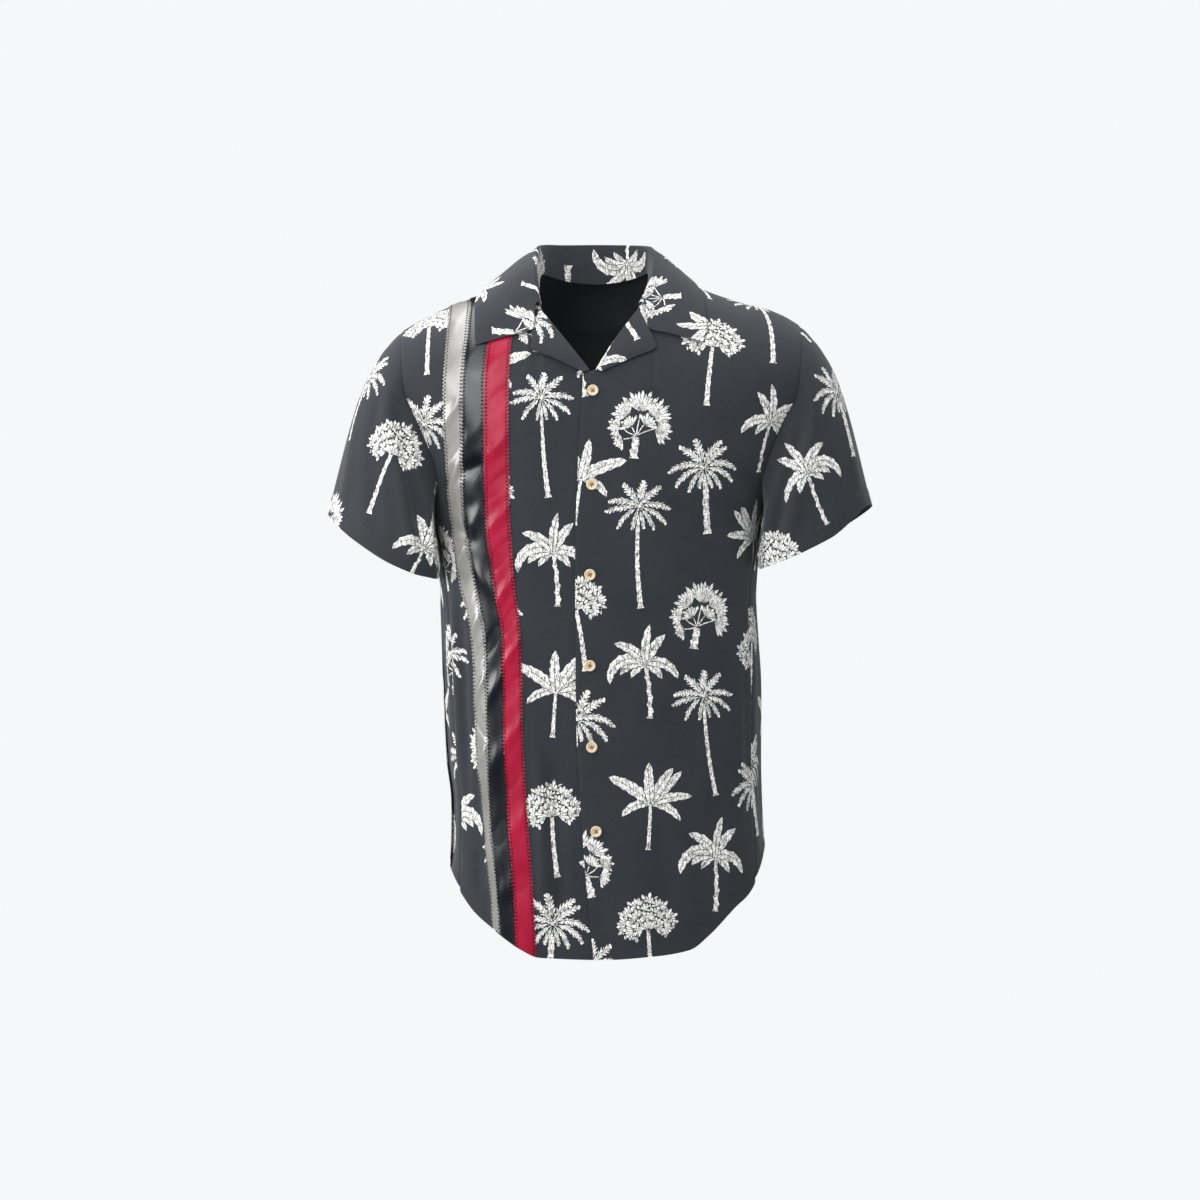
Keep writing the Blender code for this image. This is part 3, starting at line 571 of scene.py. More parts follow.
def inkOf(shapes):
    # What stays inked once every leaf has covered those behind it: points, triangles and outline edges.
    points, faces = [], []
    for outline, _ in shapes:
        faces.append(list(range(len(points), len(points) + len(outline))))
        points += [Vector(p) for p in outline]
    made = delaunay_2d_cdt(points, [], faces, 0, 1e-4)
    kept = np.array([tri for tri, owners in zip(made[2], made[5]) if owners and shapes[max(owners)][1]])
    spots = np.array([tuple(p) for p in made[0]])
    size = np.abs(flatAreas(spots, kept))
    whole = size > palmPrint["leastTriangle"]
    kept, size = kept[whole], size[whole]
    kept = kept[wholePieces(kept, size, palmPrint["leastPiece"])]
    edges, uses = np.unique(np.sort(faceEdges(kept), axis=1), axis=0, return_counts=True)
    used, index = np.unique(kept, return_inverse=True)
    renumber = np.full(len(spots), -1)
    renumber[used] = np.arange(len(used))
    return spots[used], index.reshape(-1, 3), renumber[edges[uses == 1]]


palmKinds = [inkOf(drawPalm(palm)) for palm in palms.values()]
print("palms drawn:", [len(kind[0]) for kind in palmKinds])


def placedPalms(low, high, start):
    # Palms in half-drop columns over a flat area, each a little turned and sized by its place in the row.
    points, triangles, edges, numbers, count = [], [], [], [], 0
    pitch = np.array([palmPrint["columnPitch"], palmPrint["rowPitch"]])
    first = np.floor((low - 90 - start) / pitch).astype(int) - (0, 1)
    last = np.ceil((high + 90 - start) / pitch).astype(int)
    for column in range(first[0], last[0] + 1):
        for row in range(first[1], last[1] + 1):
            spots, corners, outline = palmKinds[palmPrint["order"][(row + 2 * column) % len(palmKinds)]]
            wander = np.array([4 * np.sin(2.1 * column + 1.3 * row), 6 * np.sin(1.7 * row + 2.9 * column)])
            place = start + pitch * (column, row + (column % 2) / 2) + wander
            turn = np.radians(7 * np.sin(3.3 * row + 1.1 * column))
            size = palmPrint["size"] * (1 + 0.05 * np.sin(1.9 * row - 2.3 * column))
            mirror = -1 if (row + column // 2) % 2 else 1
            turned = np.array([[np.cos(turn), np.sin(turn)], [-np.sin(turn), np.cos(turn)]])
            placed = (spots * (mirror * size, size)) @ turned + place
            if (placed.max(axis=0) < low).any() or (placed.min(axis=0) > high).any():
                continue
            points.append(placed)
            triangles.append(corners[:, ::mirror] + count)
            numbers.append(np.full(len(corners), len(numbers)))
            edges.append(outline + count)
            count += len(placed)
    return np.concatenate(points), np.concatenate(triangles), np.concatenate(edges), np.concatenate(numbers)


def gridTriangles(rows, columns):
    index = np.arange(rows * columns).reshape(rows, columns)
    a, b, c, d = index[:-1, :-1], index[1:, :-1], index[1:, 1:], index[:-1, 1:]
    return np.concatenate([np.stack(three, axis=-1).reshape(-1, 3) for three in ((a, b, c), (a, c, d))])


def gridRim(rows, columns):
    index = np.arange(rows * columns).reshape(rows, columns)
    return np.concatenate([index[0, :-1], index[:-1, -1], index[-1, :0:-1], index[:0:-1, 0]])


def levelTree(spots, faces):
    # Flat triangles to look up from above.
    level = np.concatenate([spots, np.zeros((len(spots), 1))], axis=1)
    return BVHTree.FromPolygons(level.tolist(), faces.tolist())


def onGrid(spots, flat, grid, normals):
    # Where flat spots lie on the worn surface, with the surface's normals there.
    rows, columns = grid.shape[:2]
    corners = gridTriangles(rows, columns)
    tree = levelTree(flat.reshape(-1, 2), corners)
    found = np.array([tree.find_nearest((u, v, 0.0))[2] for u, v in spots])
    a, b, c = (flat.reshape(-1, 2)[corners[found, k]] for k in range(3))
    whole = crossed(b - a, c - a)
    beside, along = crossed(spots - a, c - a) / whole, crossed(b - a, spots - a) / whole
    weights = np.clip(np.stack([1 - beside - along, beside, along], axis=-1), 0, 1)
    weights /= weights.sum(axis=1, keepdims=True)
    place = (grid.reshape(-1, 3)[corners[found]] * weights[..., None]).sum(axis=1)
    facing = unit((normals.reshape(-1, 3)[corners[found]] * weights[..., None]).sum(axis=1))
    return place, facing


def addObject(name, data):
    item = bpy.data.objects.new(name, data)
    bpy.context.scene.collection.objects.link(item)
    return item


def buildMesh(name, points, faces, loopNormals, materials, slots, spots=None):
    mesh = bpy.data.meshes.new(name)
    mesh.from_pydata((points / 1000).tolist(), [], faces.tolist())
    for material in materials:
        mesh.materials.append(material)
    mesh.polygons.foreach_set("material_index", np.asarray(slots, np.int32))
    mesh.polygons.foreach_set("use_smooth", np.ones(len(faces), bool))
    if spots is not None:
        layer = mesh.uv_layers.new(name="UVMap")
        layer.data.foreach_set("uv", (spots[faces.reshape(-1)] / 1000).astype(np.float32).reshape(-1))
    mesh.update()
    if loopNormals is not None:
        mesh.normals_split_custom_set(loopNormals.tolist())
    return addObject(name, mesh)


def outlineOf(faces):
    # The points along the open edge of a skin, in the faces' own direction.
    ends = faceEdges(faces)
    _, first, uses = np.unique(np.sort(ends, axis=1), axis=0, return_index=True, return_counts=True)
    onward = {int(a): int(b) for a, b in ends[first[uses == 1]]}
    line = [min(onward)]
    while onward[line[-1]] != line[0]:
        line.append(onward[line[-1]])
    return np.array(line)


def shell(name, outer, inner, rims, slots, thickness, materials):
    # Two skins of cloth, each as points, normals, faces and flat spots, with a rim between their outlines.
    # The slots say which material each outer face has. The reverse has the third.
    count = len(outer[0])
    a, c = rims[0], rims[1] + count
    b, d = np.roll(a, -1), np.roll(c, -1)
    rimFaces = np.concatenate([np.stack([b, a, c], axis=1), np.stack([b, c, d], axis=1)])
    points = np.concatenate([outer[0], inner[0] - thickness * inner[1]])
    faces = np.concatenate([outer[2], inner[2][:, ::-1] + count, rimFaces])
    corners = points[rimFaces]
    rimNormals = unit(np.cross(corners[:, 1] - corners[:, 0], corners[:, 2] - corners[:, 0]))
    back = -inner[1][inner[2][:, ::-1].reshape(-1)]
    loopNormals = np.concatenate([outer[1][outer[2].reshape(-1)], back, np.repeat(rimNormals, 3, axis=0)])
    slots = np.concatenate([slots, np.full(len(inner[2]), 2), np.zeros(len(rimFaces), int)])
    return buildMesh(name, points, faces, loopNormals, materials, slots, np.concatenate([outer[3], inner[3]]))


def flatTriangles(points, edges, rim):
    # Triangles over the points inside a closed line of them, with the edges kept, all turned one way.
    made = delaunay_2d_cdt([Vector(p) for p in points], edges, [rim], 0, 1e-4)
    faces = np.array([tri for tri, owners in zip(made[2], made[5]) if owners])
    spots = np.array([tuple(p) for p in made[0]])
    faces = np.where((flatAreas(spots, faces) > 0)[:, None], faces, faces[:, ::-1])
    used, index = np.unique(faces, return_inverse=True)
    return spots[used], index.reshape(-1, 3)


def printedShell(name, grid, normals, flat, start, thickness):
    # A piece of cloth with the palms cut into its outer skin. The reverse is plain and has fewer points.
    rows, columns = grid.shape[:2]
    level = flat.reshape(-1, 2)
    ink, inkTriangles, inkEdges, palmNumbers = placedPalms(level.min(axis=0), level.max(axis=0), start)
    rim = gridRim(rows, columns)
    if crossed(level[rim], level[np.roll(rim, -1)]).sum() < 0:
        rim = rim[::-1]
    edges = (inkEdges + len(level)).tolist()
    spots, faces = flatTriangles(np.concatenate([level, ink]), edges, rim.tolist())
    inkTree = levelTree(ink, inkTriangles)
    down = Vector((0, 0, -1))
    found = [inkTree.ray_cast((u, v, 1.0), down)[2] for u, v in spots[faces].mean(axis=1)]
    owner = np.array([-1 if k is None else palmNumbers[k] for k in found])
    shown = np.bincount(owner + 1, np.abs(flatAreas(spots, faces)), palmNumbers.max() + 2)
    # A palm of which only a scrap falls on the piece is left out.
    inked = ((owner >= 0) & (shown[owner + 1] > palmPrint["leastShown"])).astype(int)
    outline = outlineOf(faces)
    inside = flat[1:-1, 1:-1].reshape(-1, 2)
    points = np.concatenate([spots[outline], inside])
    reverse, reverseFaces = flatTriangles(points, [], list(range(len(outline))))
    reverseOutline = outlineOf(reverseFaces)
    match = np.linalg.norm(reverse[reverseOutline] - spots[outline[0]], axis=1).argmin()
    outer = (*onGrid(spots, flat, grid, normals), faces, spots)
    inner = (*onGrid(reverse, flat, grid, normals), reverseFaces, reverse)
    rims = (outline, np.roll(reverseOutline, -match))
    piece = shell(name, outer, inner, rims, inked, thickness, clothMaterials)
    print(name, "triangles", len(piece.data.polygons), "flat size", np.round(np.ptp(level, axis=0)))
    return piece


def springsOf(grid, down, across):
    # Which grid neighbours are held apart, and by how much: along rows, along columns, and both diagonals.
    sideways, onward = np.diff(grid, axis=1), np.diff(grid, axis=0)
    rowSteps, columnSteps = np.diff(across, axis=1), np.diff(down, axis=0)
    sideways = unit(sideways) * rowSteps[..., None]
    onward = unit(onward) * columnSteps[..., None]
    fallen = [sideways[:-1] + onward[:, 1:], onward[:, :-1] + sideways[1:]]
    raised = [onward[:, :-1] - sideways[:-1], onward[:, 1:] - sideways[1:]]
    fallen, raised = (sum(np.linalg.norm(way, axis=-1) for way in ways) / 2 for ways in (fallen, raised))
    late, early, whole = slice(1, None), slice(None, -1), slice(None)
    return (
        ((late, whole), (early, whole), columnSteps), ((whole, late), (whole, early), rowSteps),
        ((late, late), (early, early), fallen), ((late, early), (early, late), raised))


def turnedOver(flat):
    # How many corners of the flat grid have come out the wrong way up.
    one, two = flat[:-1, 1:] - flat[:-1, :-1], flat[1:, :-1] - flat[:-1, :-1]
    last, other = flat[1:, 1:] - flat[:-1, 1:], flat[1:, 1:] - flat[1:, :-1]
    sizes = np.stack([crossed(one, two), crossed(other, last)])
    return int((sizes * np.sign(np.median(sizes)) <= 0).sum())


def everySo(places, apart):
    # Which of the places to take so that they stand about that far apart.
    wanted = np.linspace(0, places[-1], max(3, int(places[-1] / apart) + 1))
    return np.unique(np.searchsorted(places, wanted).clip(0, len(places) - 1))


relaxing = {
    "rounds": ((36, 300), (18, 240), (9, 160)),  # distance apart and number of rounds, coarse to fine
    "overshoot": 1.2,
    "shares": (1.0, 0.9, 0.75, 0.6, 0.4, 0.2, 0.0),
}


def laidFlat(name, grid, start):
    # The cloth laid flat: neighbours are drawn to the distances that they have on the worn surface.
    flat = start.astype(float).copy()
    down, across = np.zeros(grid.shape[:2]), np.zeros(grid.shape[:2])
    down[1:] = np.cumsum(np.linalg.norm(np.diff(grid, axis=0), axis=-1), axis=0)
    across[:, 1:] = np.cumsum(np.linalg.norm(np.diff(grid, axis=1), axis=-1), axis=1)
    rowPlaces, columnPlaces = down.mean(axis=1), across.mean(axis=0)
    for apart, rounds in relaxing["rounds"]:
        r, c = everySo(rowPlaces, apart), everySo(columnPlaces, apart)
        pick = np.ix_(r, c)
        here = flat[pick]
        before = here.copy()
        springs = springsOf(grid[pick], down[pick], across[pick])
        count = np.zeros(here.shape[:2])
        for a, b, _ in springs:
            count[a] += 1
            count[b] += 1
        for _ in range(rounds):
            move = np.zeros_like(here)
            for a, b, length in springs:
                gap = here[a] - here[b]
                size = np.maximum(np.linalg.norm(gap, axis=-1), 1e-6)
                pull = (0.5 * (length - size) / size)[..., None] * gap
                move[a] += pull
                move[b] -= pull
            here = here + relaxing["overshoot"] * move / count[..., None]
        change = here - before
        for axis in (0, 1):
            part = np.array([np.interp(columnPlaces, columnPlaces[c], row) for row in change[..., axis]])
            flat[..., axis] += np.array([np.interp(rowPlaces, rowPlaces[r], column) for column in part.T]).T
    for share in relaxing["shares"]:
        blend = start + share * (flat - start)
        if not turnedOver(blend):
            break
    print(name, "laid flat:", share, "of the relaxed shape,", turnedOver(blend), "cells turned over")
    return blend


def arcFrom(angles, heights, side):
    # Distance round the body at each height, from the middle of the front or the back.
    fine, levels = np.arange(-180, 181, 2.0), np.arange(-760, 41, 20.0)
    middle, half, front, back, centre = (row[:, None] for row in bodySection(levels))
    power = 2 / bodyForm["cornerPower"]
    cosine, sine = np.cos(np.radians(fine))[None, :], np.sin(np.radians(fine))[None, :]
    x = middle + half * np.sign(cosine) * np.abs(cosine) ** power
    y = centre - np.sign(sine) * np.where(sine >= 0, front, back) * np.abs(sine) ** power
    run = np.cumsum(np.hypot(np.diff(x), np.diff(y)), axis=1)
    run = np.concatenate([np.zeros((len(levels), 1)), run], axis=1)
    zero = 135 if side > 0 else 45
    place, level = (angles + 180) / 2, np.clip((heights + 760) / 20, 0, len(levels) - 1.001)
    k, r = np.clip(place.astype(int), 0, len(fine) - 2), level.astype(int)
    part, rest = place - k, level - r
    low = run[r, k] * (1 - part) + run[r, k + 1] * part - run[r, zero]
    high = run[r + 1, k] * (1 - part) + run[r + 1, k + 1] * part - run[r + 1, zero]
    return -(low * (1 - rest) + high * rest)


def heightAlong(points):
    # Height with the turn over the shoulder laid out straight.
    turn = smoothCurve(bodyForm["shoulderLine"], 2, points[..., 0])
    drop = np.clip(smoothCurve(bodyForm["shoulderLine"], 1, points[..., 0]) - points[..., 2], 0, turn)
    return points[..., 2] + drop + turn * (np.pi / 2 - 1 - np.arccos(1 - drop / turn))


def sideEdge(z, column):
    seam = smoothCurve(bodyForm["sideSeam"], 1, z)
    below = seam if column == 1 else -seam
    return np.where(z < bodyForm["underarm"], below, smoothCurve(bodyForm["armholeEdges"], column, z))


def edgedShares(count, near, atStart=True, atEnd=True):
    # Even shares from 0 to 1, with a few more close to the edges for seams and hems.
    extra = [np.array(near)] if atStart else []
    extra += [1 - np.array(near)] if atEnd else []
    return np.unique(np.round(np.concatenate([np.linspace(0, 1, count), *extra]), 6))


panels = {
    "front_left": {
        "neck": ((-20, -110), (-8, -107), (41.5, -38), (48.5, -24), (54.5, -8), (57.5, 3)),
        "neckLimits": (-40, 57.5), "columns": 60, "near": (0.003, 0.007, 0.013), "side": 1,
        "printStart": (44, -22)},
    "front_right": {
        "neck": ((-69.5, 3), (-67, -13), (-63.5, -38), (-8, -108), (16, -113)),
        "neckLimits": (-69, 40), "columns": 54, "near": (0.003, 0.007, 0.013), "side": 1,
        "printStart": (-52, 94)},
    "back": {
        "neck": ((-66, 2), (-52, -1.5), (-34, -4.5), (-4, -5), (24, -4.5), (44, -1), (58, 3)),
        "neckLimits": (-66, 58), "columns": 104, "near": (0.0015, 0.0035, 0.0065), "side": -1,
        "printStart": (6, -10)},
}


def panelAngles(name, share, z):
    if name == "front_left":
        start, end = angleAt(smoothCurve(bodyForm["lapEdge"], 1, z), z), sideEdge(z, 1)
    elif name == "front_right":
        start, end = angleAt(np.full(np.shape(z), 14.0), z), 180 - sideEdge(z, 1)
    else:
        edge = sideEdge(z, 2)
        start, end = -edge, edge - 180
    return start + (end - start) * share


def panelGrid(name):
    panel = panels[name]
    share = edgedShares(panel["columns"], panel["near"])
    tops, bottoms = np.full(len(share), -60.0), np.full(len(share), -700.0)
    low, high = panel["neckLimits"]
    hem = bodyForm["frontHem" if panel["side"] > 0 else "backHem"]
    for _ in range(16):
        x = bodyPoint(panelAngles(name, share, tops), tops)[:, 0]
        neck, shoulder = smoothCurve(panel["neck"], 1, x), smoothCurve(bodyForm["shoulderLine"], 1, x)
        tops = np.where((x > low) & (x < high), neck, shoulder)
        bottoms = smoothCurve(hem, 1, bodyPoint(panelAngles(name, share, bottoms), bottoms)[:, 0])
    x = bodyPoint(panelAngles(name, share, tops), tops)[:, 0]
    height, turn = smoothCurve(bodyForm["shoulderLine"], 1, x), smoothCurve(bodyForm["shoulderLine"], 2, x)
    underarm, evenEnd = bodyForm["underarm"], bodyForm["evenRowsEnd"]

    def reach(drop):
        curved = turn * np.arccos(np.clip(1 - drop / turn, -1, 1))
        return np.where(drop < turn, curved, turn * np.pi / 2 + drop - turn)

    first, last = reach(height - tops), reach(height - underarm)
    run = first + (last - first) * edgedShares(66, (0.004, 0.009), atEnd=False)[:, None]
    drop = np.where(run < turn * np.pi / 2, turn * (1 - np.cos(run / turn)), turn + run - turn * np.pi / 2)
    middle = np.linspace(underarm, evenEnd, 66)[1:, None] + 0 * tops
    low = edgedShares(30, (0.006, 0.05, 0.07, 0.085), atStart=False)[1:, None]
    rows = np.concatenate([height - drop, middle, evenEnd + (bottoms - evenEnd) * low])
    angles = panelAngles(name, share[None, :], rows)
    grid = bodyPoint(angles, rows)
    return grid, len(drop) - 1, np.stack([arcFrom(angles, rows, panel["side"]), heightAlong(grid)], axis=-1)


tucks = {
    "panel": (0.7, 2.2), "lap": (0.5, 1.6), "sleeve": (0.8, 2.4), "collar": (0.7, 1.6), "lapel": (0.6, 1.5)}


def edgeTuck(grid, edges, kind):
    # How far in the cloth is drawn beside each seamed edge, by the kind's depth and width.
    depth, width = tucks[kind]
    tuck = np.zeros(grid.shape[:2])
    for edge in edges:
        axis, place = {"top": (0, 0), "bottom": (0, -1), "first": (1, 0), "last": (1, -1)}[edge]
        line = grid[place][None] if axis == 0 else grid[:, place][:, None]
        steps = np.linalg.norm(grid - line, axis=-1)
        tuck = np.maximum(tuck, depth * np.exp(-(steps / width) ** 2))
    return tuck


def hemRelief(grid, depth):
    # A turned hem: a double layer below the stitching, drawn in along it with small puckers.
    rise = riseAbove(grid)
    along = runAlong(grid[-1])[None, :]
    pucker = 1 + 0.45 * np.sin(along / 3.1) + 0.3 * np.sin(along / 7.3 + 1)
    stitched = 0.35 * pucker * np.exp(-((rise - depth) / 1.6) ** 2)
    return 0.5 * (1 - smoothStep((rise - depth + 1) / 2)) - stitched


def underLap(x):
    # How far the right front steps back to lie under the left one.
    return bodyForm["overlapStep"] * smoothStep((x + 82) / 44)


def finishPanel(name, paths):
    grid, armholeRow, rough = panelGrid(name)
    normals = facingOut(grid, gridNormals(grid))
    if name == "front_right":
        grid = grid + np.array([0, 1, 0]) * underLap(grid[..., 0])[..., None]
    edges = ["top", "last", "first"] if name == "back" else ["top", "last"]
    flat = laidFlat(name, grid, rough)
    shift = creaseShift(grid, paths) - edgeTuck(grid, edges, "panel") + hemRelief(grid, bodyForm["hem"])
    if name == "front_left":
        shift -= edgeTuck(grid, ["first"], "lap")
    grid = grid + shift[..., None] * normals
    normals = facingOut(grid, gridNormals(grid))
    piece = printedShell(name, grid, normals, flat, panels[name]["printStart"], bodyForm["thickness"])
    return {"piece": piece, "grid": grid, "normals": normals, "armholeRow": armholeRow}


sleeveForm = {  # the hem's outer and inner ends, and how it dips round from the shoulder, by degrees
    "sleeve_right": {
        "side": -1, "outer": (-287.5, -254), "inner": (-170, -324), "skew": 41, "printStart": (20, -60),
        "dip": (
            (0, 0), (30, -6), (60, -12), (90, -14.5), (120, -11), (150, -4), (180, 0), (230, -5), (270, -8),
            (315, -5), (360, 0))},
    "sleeve_left": {
        "side": 1, "outer": (287.5, -247), "inner": (167, -312), "skew": 38, "printStart": (-34, -88),
        "dip": (
            (0, 0), (28, 3), (50, -3), (78, -10), (105, -9), (140, -5), (165, -3), (180, 0), (230, -6),
            (270, -9), (315, -5), (360, 0))},
    "middle": -11, "half": 57, "rows": 48, "hem": 18.0, "lipDepth": 1.5, "lipReach": 0.7,
}


def sleeveGrid(name, loop, lowest):
    sizes = sleeveForm[name]
    steps = np.linalg.norm(np.roll(loop, -1, axis=0) - loop, axis=1)
    run = np.concatenate([[0], np.cumsum(steps)])
    turn = np.concatenate([
        np.pi * run[:lowest + 1] / run[lowest],
        np.pi + np.pi * (run[lowest + 1:-1] - run[lowest]) / (run[-1] - run[lowest])])
    outer, inner = np.array(sizes["outer"], float), np.array(sizes["inner"], float)
    middle, reach = (outer + inner) / 2, (outer - inner) / 2
    hem = np.stack([
        middle[0] + reach[0] * np.cos(turn),
        sleeveForm["middle"] - sleeveForm["half"] * np.sin(turn) - sizes["skew"] * (1 - np.cos(turn)) / 2,
        middle[1] + reach[1] * np.cos(turn) + smoothCurve(sizes["dip"], 1, np.degrees(turn))], axis=-1)
    top, side = (1 + np.cos(turn)) / 2, sizes["side"]
    behind = (1 - np.sin(turn)) / 2
    outward = 0.08 + 0.3 * behind * (1 - top) + 0.72 * top
    forward = 0.12 * np.sin(turn) + 0.3 * (1 - top)
    leave = np.stack([side * outward, -forward, -0.9 + 0.3 * top], axis=-1)
    arrive = np.stack([side * 0.27 + 0 * turn, 0 * turn, -0.96 + 0 * turn], axis=-1)
    start = loop + np.array([side, 0, -0.35]) * (0.2 + 0.5 * (1 - top))[:, None]
    length = np.linalg.norm(hem - start, axis=1, keepdims=True)
    u = edgedShares(sleeveForm["rows"], (0.004, 0.01))[:, None, None]
    grid = (2 * u ** 3 - 3 * u ** 2 + 1) * start + (u ** 3 - 2 * u ** 2 + u) * leave * length * 0.85
    grid = grid + (3 * u ** 2 - 2 * u ** 3) * hem + (u ** 3 - u ** 2) * arrive * length * 1.15
    return grid, turn


def roughFlat(grid, normals, middleColumn):
    # Rows and columns of their own lengths, measured from the last row and one middle column, laid square.
    across = np.cumsum(np.linalg.norm(np.diff(grid, axis=1), axis=-1), axis=1)
    across = np.concatenate([np.zeros((len(grid), 1)), across], axis=1)
    rise = riseAbove(grid)
    k, r = middleColumn, len(grid) // 2
    facing = np.cross(grid[r, k + 2] - grid[r, k - 2], grid[r - 2, k] - grid[r + 2, k])
    hand = 1 if (facing * normals[r, k]).sum() > 0 else -1
    return np.stack([hand * (across - across[:, k:k + 1]), rise - rise[0, k]], axis=-1)


def seamLip(loop, out, grid):
    # The seam allowance turns in under the edge of the body, so that no light comes through the seam.
    onward = np.roll(loop, -1, axis=0) - np.roll(loop, 1, axis=0)
    across = unit(np.cross(out, onward))
    across *= np.sign(((loop - grid[2]) * across).sum(axis=-1, keepdims=True))
    return loop - sleeveForm["lipDepth"] * out + sleeveForm["lipReach"] * across


def nearestTo(degrees, angle):
    return int(np.abs((degrees - angle + 180) % 360 - 180).argmin())


def tubeNormals(grid):
    return gridNormals(np.concatenate([grid[:, -2:-1], grid, grid[:, 1:2]], axis=1))[:, 1:-1]


def makeSleeve(name, front, back, column):
    count = front["armholeRow"] + 1
    down, up = front["grid"][:count, -1], back["grid"][:count, column][::-1]
    loop = np.concatenate([down, up[1:-1]])
    lowest = count - 1
    out = np.concatenate([front["normals"][:count, -1], back["normals"][:count, column][::-1][1:-1]])
    grid, turn = sleeveGrid(name, loop, lowest)
    lip = seamLip(loop, out, grid)
    # The seam under the arm is where the tube is cut to lie flat.
    order = np.concatenate([np.arange(lowest, len(loop)), np.arange(0, lowest + 1)])
    grid, degrees = grid[:, order], np.degrees(turn[order]) % 360
    normals = tubeNormals(grid)
    if ((grid - grid.mean(axis=1, keepdims=True)) * normals).sum() < 0:
        normals = -normals
    paths = []
    for line, width, depth in creaseLines["sleeve"]:
        fine = np.linspace(0, len(line) - 1, 8 * (len(line) - 1) + 1)
        around, along = between(fine, np.arange(len(line)), np.array(line, float)).T
        columns = [nearestTo(degrees, a) for a in around]
        rows = [int(round(s * (len(grid) - 1))) for s in along]
        paths.append((grid[rows, columns], width, depth))
    flat = laidFlat(name, grid, roughFlat(grid, normals, nearestTo(degrees, 0)))
    shift = creaseShift(grid, paths) - edgeTuck(grid, ["top"], "sleeve") + hemRelief(grid, sleeveForm["hem"])
    shift[:, 0] = shift[:, -1] = (shift[:, 0] + shift[:, -1]) / 2 - 0.3
    grid = grid + shift[..., None] * normals
    again = tubeNormals(grid)
    normals = again * np.sign((again * normals).sum(axis=-1, keepdims=True))
    edge = unit(normals[:, :1] + normals[:, -1:])
    normals[:, :1] = normals[:, -1:] = edge
    lip = lip[order]
    share = np.linalg.norm(lip - grid[0], axis=-1) / np.linalg.norm(grid[1] - grid[0], axis=-1)
    beyond = flat[0] + share[:, None] * (flat[0] - flat[1])
    lipped = [np.concatenate([first, rest]) for first, rest in (
        (lip[None], grid), (normals[:1], normals), (beyond[None], flat))]
    piece = printedShell(name, *lipped, sleeveForm[name]["printStart"], bodyForm["thickness"])
    return {"piece": piece, "grid": grid, "normals": normals}


collarForm = {
    "stations": (  # roll line, stand foot and outer edge, each across, front to back and up
        ((-65, -67, -33), (-60.5, -57, -40), (-133, -88, -74.5)),
        ((-68, -53, -11), (-63.5, -47, -24), (-134.5, -74, -53)),
        ((-69, -35, 7), (-63.5, -30, -13), (-134, -50, -37)),
        ((-68, -12, 20), (-62.5, -10, -4), (-131.5, -22, -27)),
        ((-65, 12, 29.5), (-60, 13, -1), (-127, 10, -22)),
        ((-55, 36, 32), (-48, 32, -4), (-109, 50, -26)),
        ((-34, 54, 32.5), (-30, 45, -8), (-66, 82, -38)),
        ((-5, 60, 33), (-5, 51, -10), (-5, 93, -42)),
        ((25, 54, 32.5), (20, 45, -8), (55, 82, -37)),
        ((45, 36, 31), (38, 32, -4), (90, 50, -22)),
        ((54.5, 12, 28), (50, 13, 0), (98, 10, -11)),
        ((57.5, -12, 15), (51, -10, -5), (105, -22, -21)),
        ((56, -34, 0), (49, -27, -18), (111, -50, -36)),
        ((50, -54, -18), (43.5, -45, -32), (113, -74, -54)),
        ((43, -68, -33), (39, -58, -41), (109, -88, -73))),
    "notches": ((-70.5, -62.5), (52.5, -62)),
    "lift": 3.4,
    "thickness": 1.0,
    "finePerStation": 9,
    "finePerRow": 4,
    "printStart": (30, 16),
}


def onFront(points, lift):
    # The points at their place across and up, that far above the front.
    surface = bodyPoint(angleAt(points[..., 0], points[..., 2]), points[..., 2])
    points = points.copy()
    points[..., 1] = surface[..., 1] - lift * 1.25
    return points


def refine(rows, per):
    # More rows through the given ones, on a smooth curve.
    at = np.linspace(0, len(rows) - 1, per * (len(rows) - 1) + 1)
    k = np.clip(at.astype(int), 0, len(rows) - 2)
    t = (at - k)[:, None, None]
    before, after = rows[np.maximum(k - 1, 0)], rows[np.minimum(k + 2, len(rows) - 1)]
    a, b = rows[k], rows[k + 1]
    square, cube = 2 * before - 5 * a + 4 * b - after, 3 * a - before - 3 * b + after
    return 0.5 * (2 * a + (b - before) * t + square * t ** 2 + cube * t ** 3)


def collarGrid():
    stations = np.array(collarForm["stations"], float)
    last = len(stations) - 1
    at = np.arange(last + 1, dtype=float)
    fine = np.linspace(0, last, collarForm["finePerStation"] * last + 1)
    roll, foot, edge = (curveThrough(stations[:, line], at, fine) for line in range(3))
    lift = collarForm["lift"]
    edge = lifted(edge, lift, settle=True)
    out = edge - roll
    out[:, 2] = 0
    out = unit(out)
    up = np.array([0, 0, 1.0])
    knee = roll + 0.34 * (edge - roll) + np.array([0, 0, 2.0])
    for (x, z), gap in zip(collarForm["notches"], (fine, last - fine)):
        share = np.clip(1 - gap / 0.5, 0, 1)[:, None]
        knee = knee * (1 - share) + onFront(np.array([x, 0.0, z]), lift) * share
    shoulder = roll + 2.6 * out - 2.4 * up
    rows = [
        foot, foot + 0.5 * (roll - 2.6 * out - foot),
        roll - 2.6 * out - 2.6 * up, roll - 1.3 * out - 0.7 * up, roll + 1.0 * out - 0.5 * up,
        shoulder, shoulder + 0.45 * (knee - roll - 2.6 * out + 2.4 * up),
        knee, knee + 0.34 * (edge - knee), knee + 0.68 * (edge - knee), edge]
    for number in range(5, 11):
        rows[number] = lifted(rows[number], lift)
    return refine(np.array(rows), collarForm["finePerRow"])


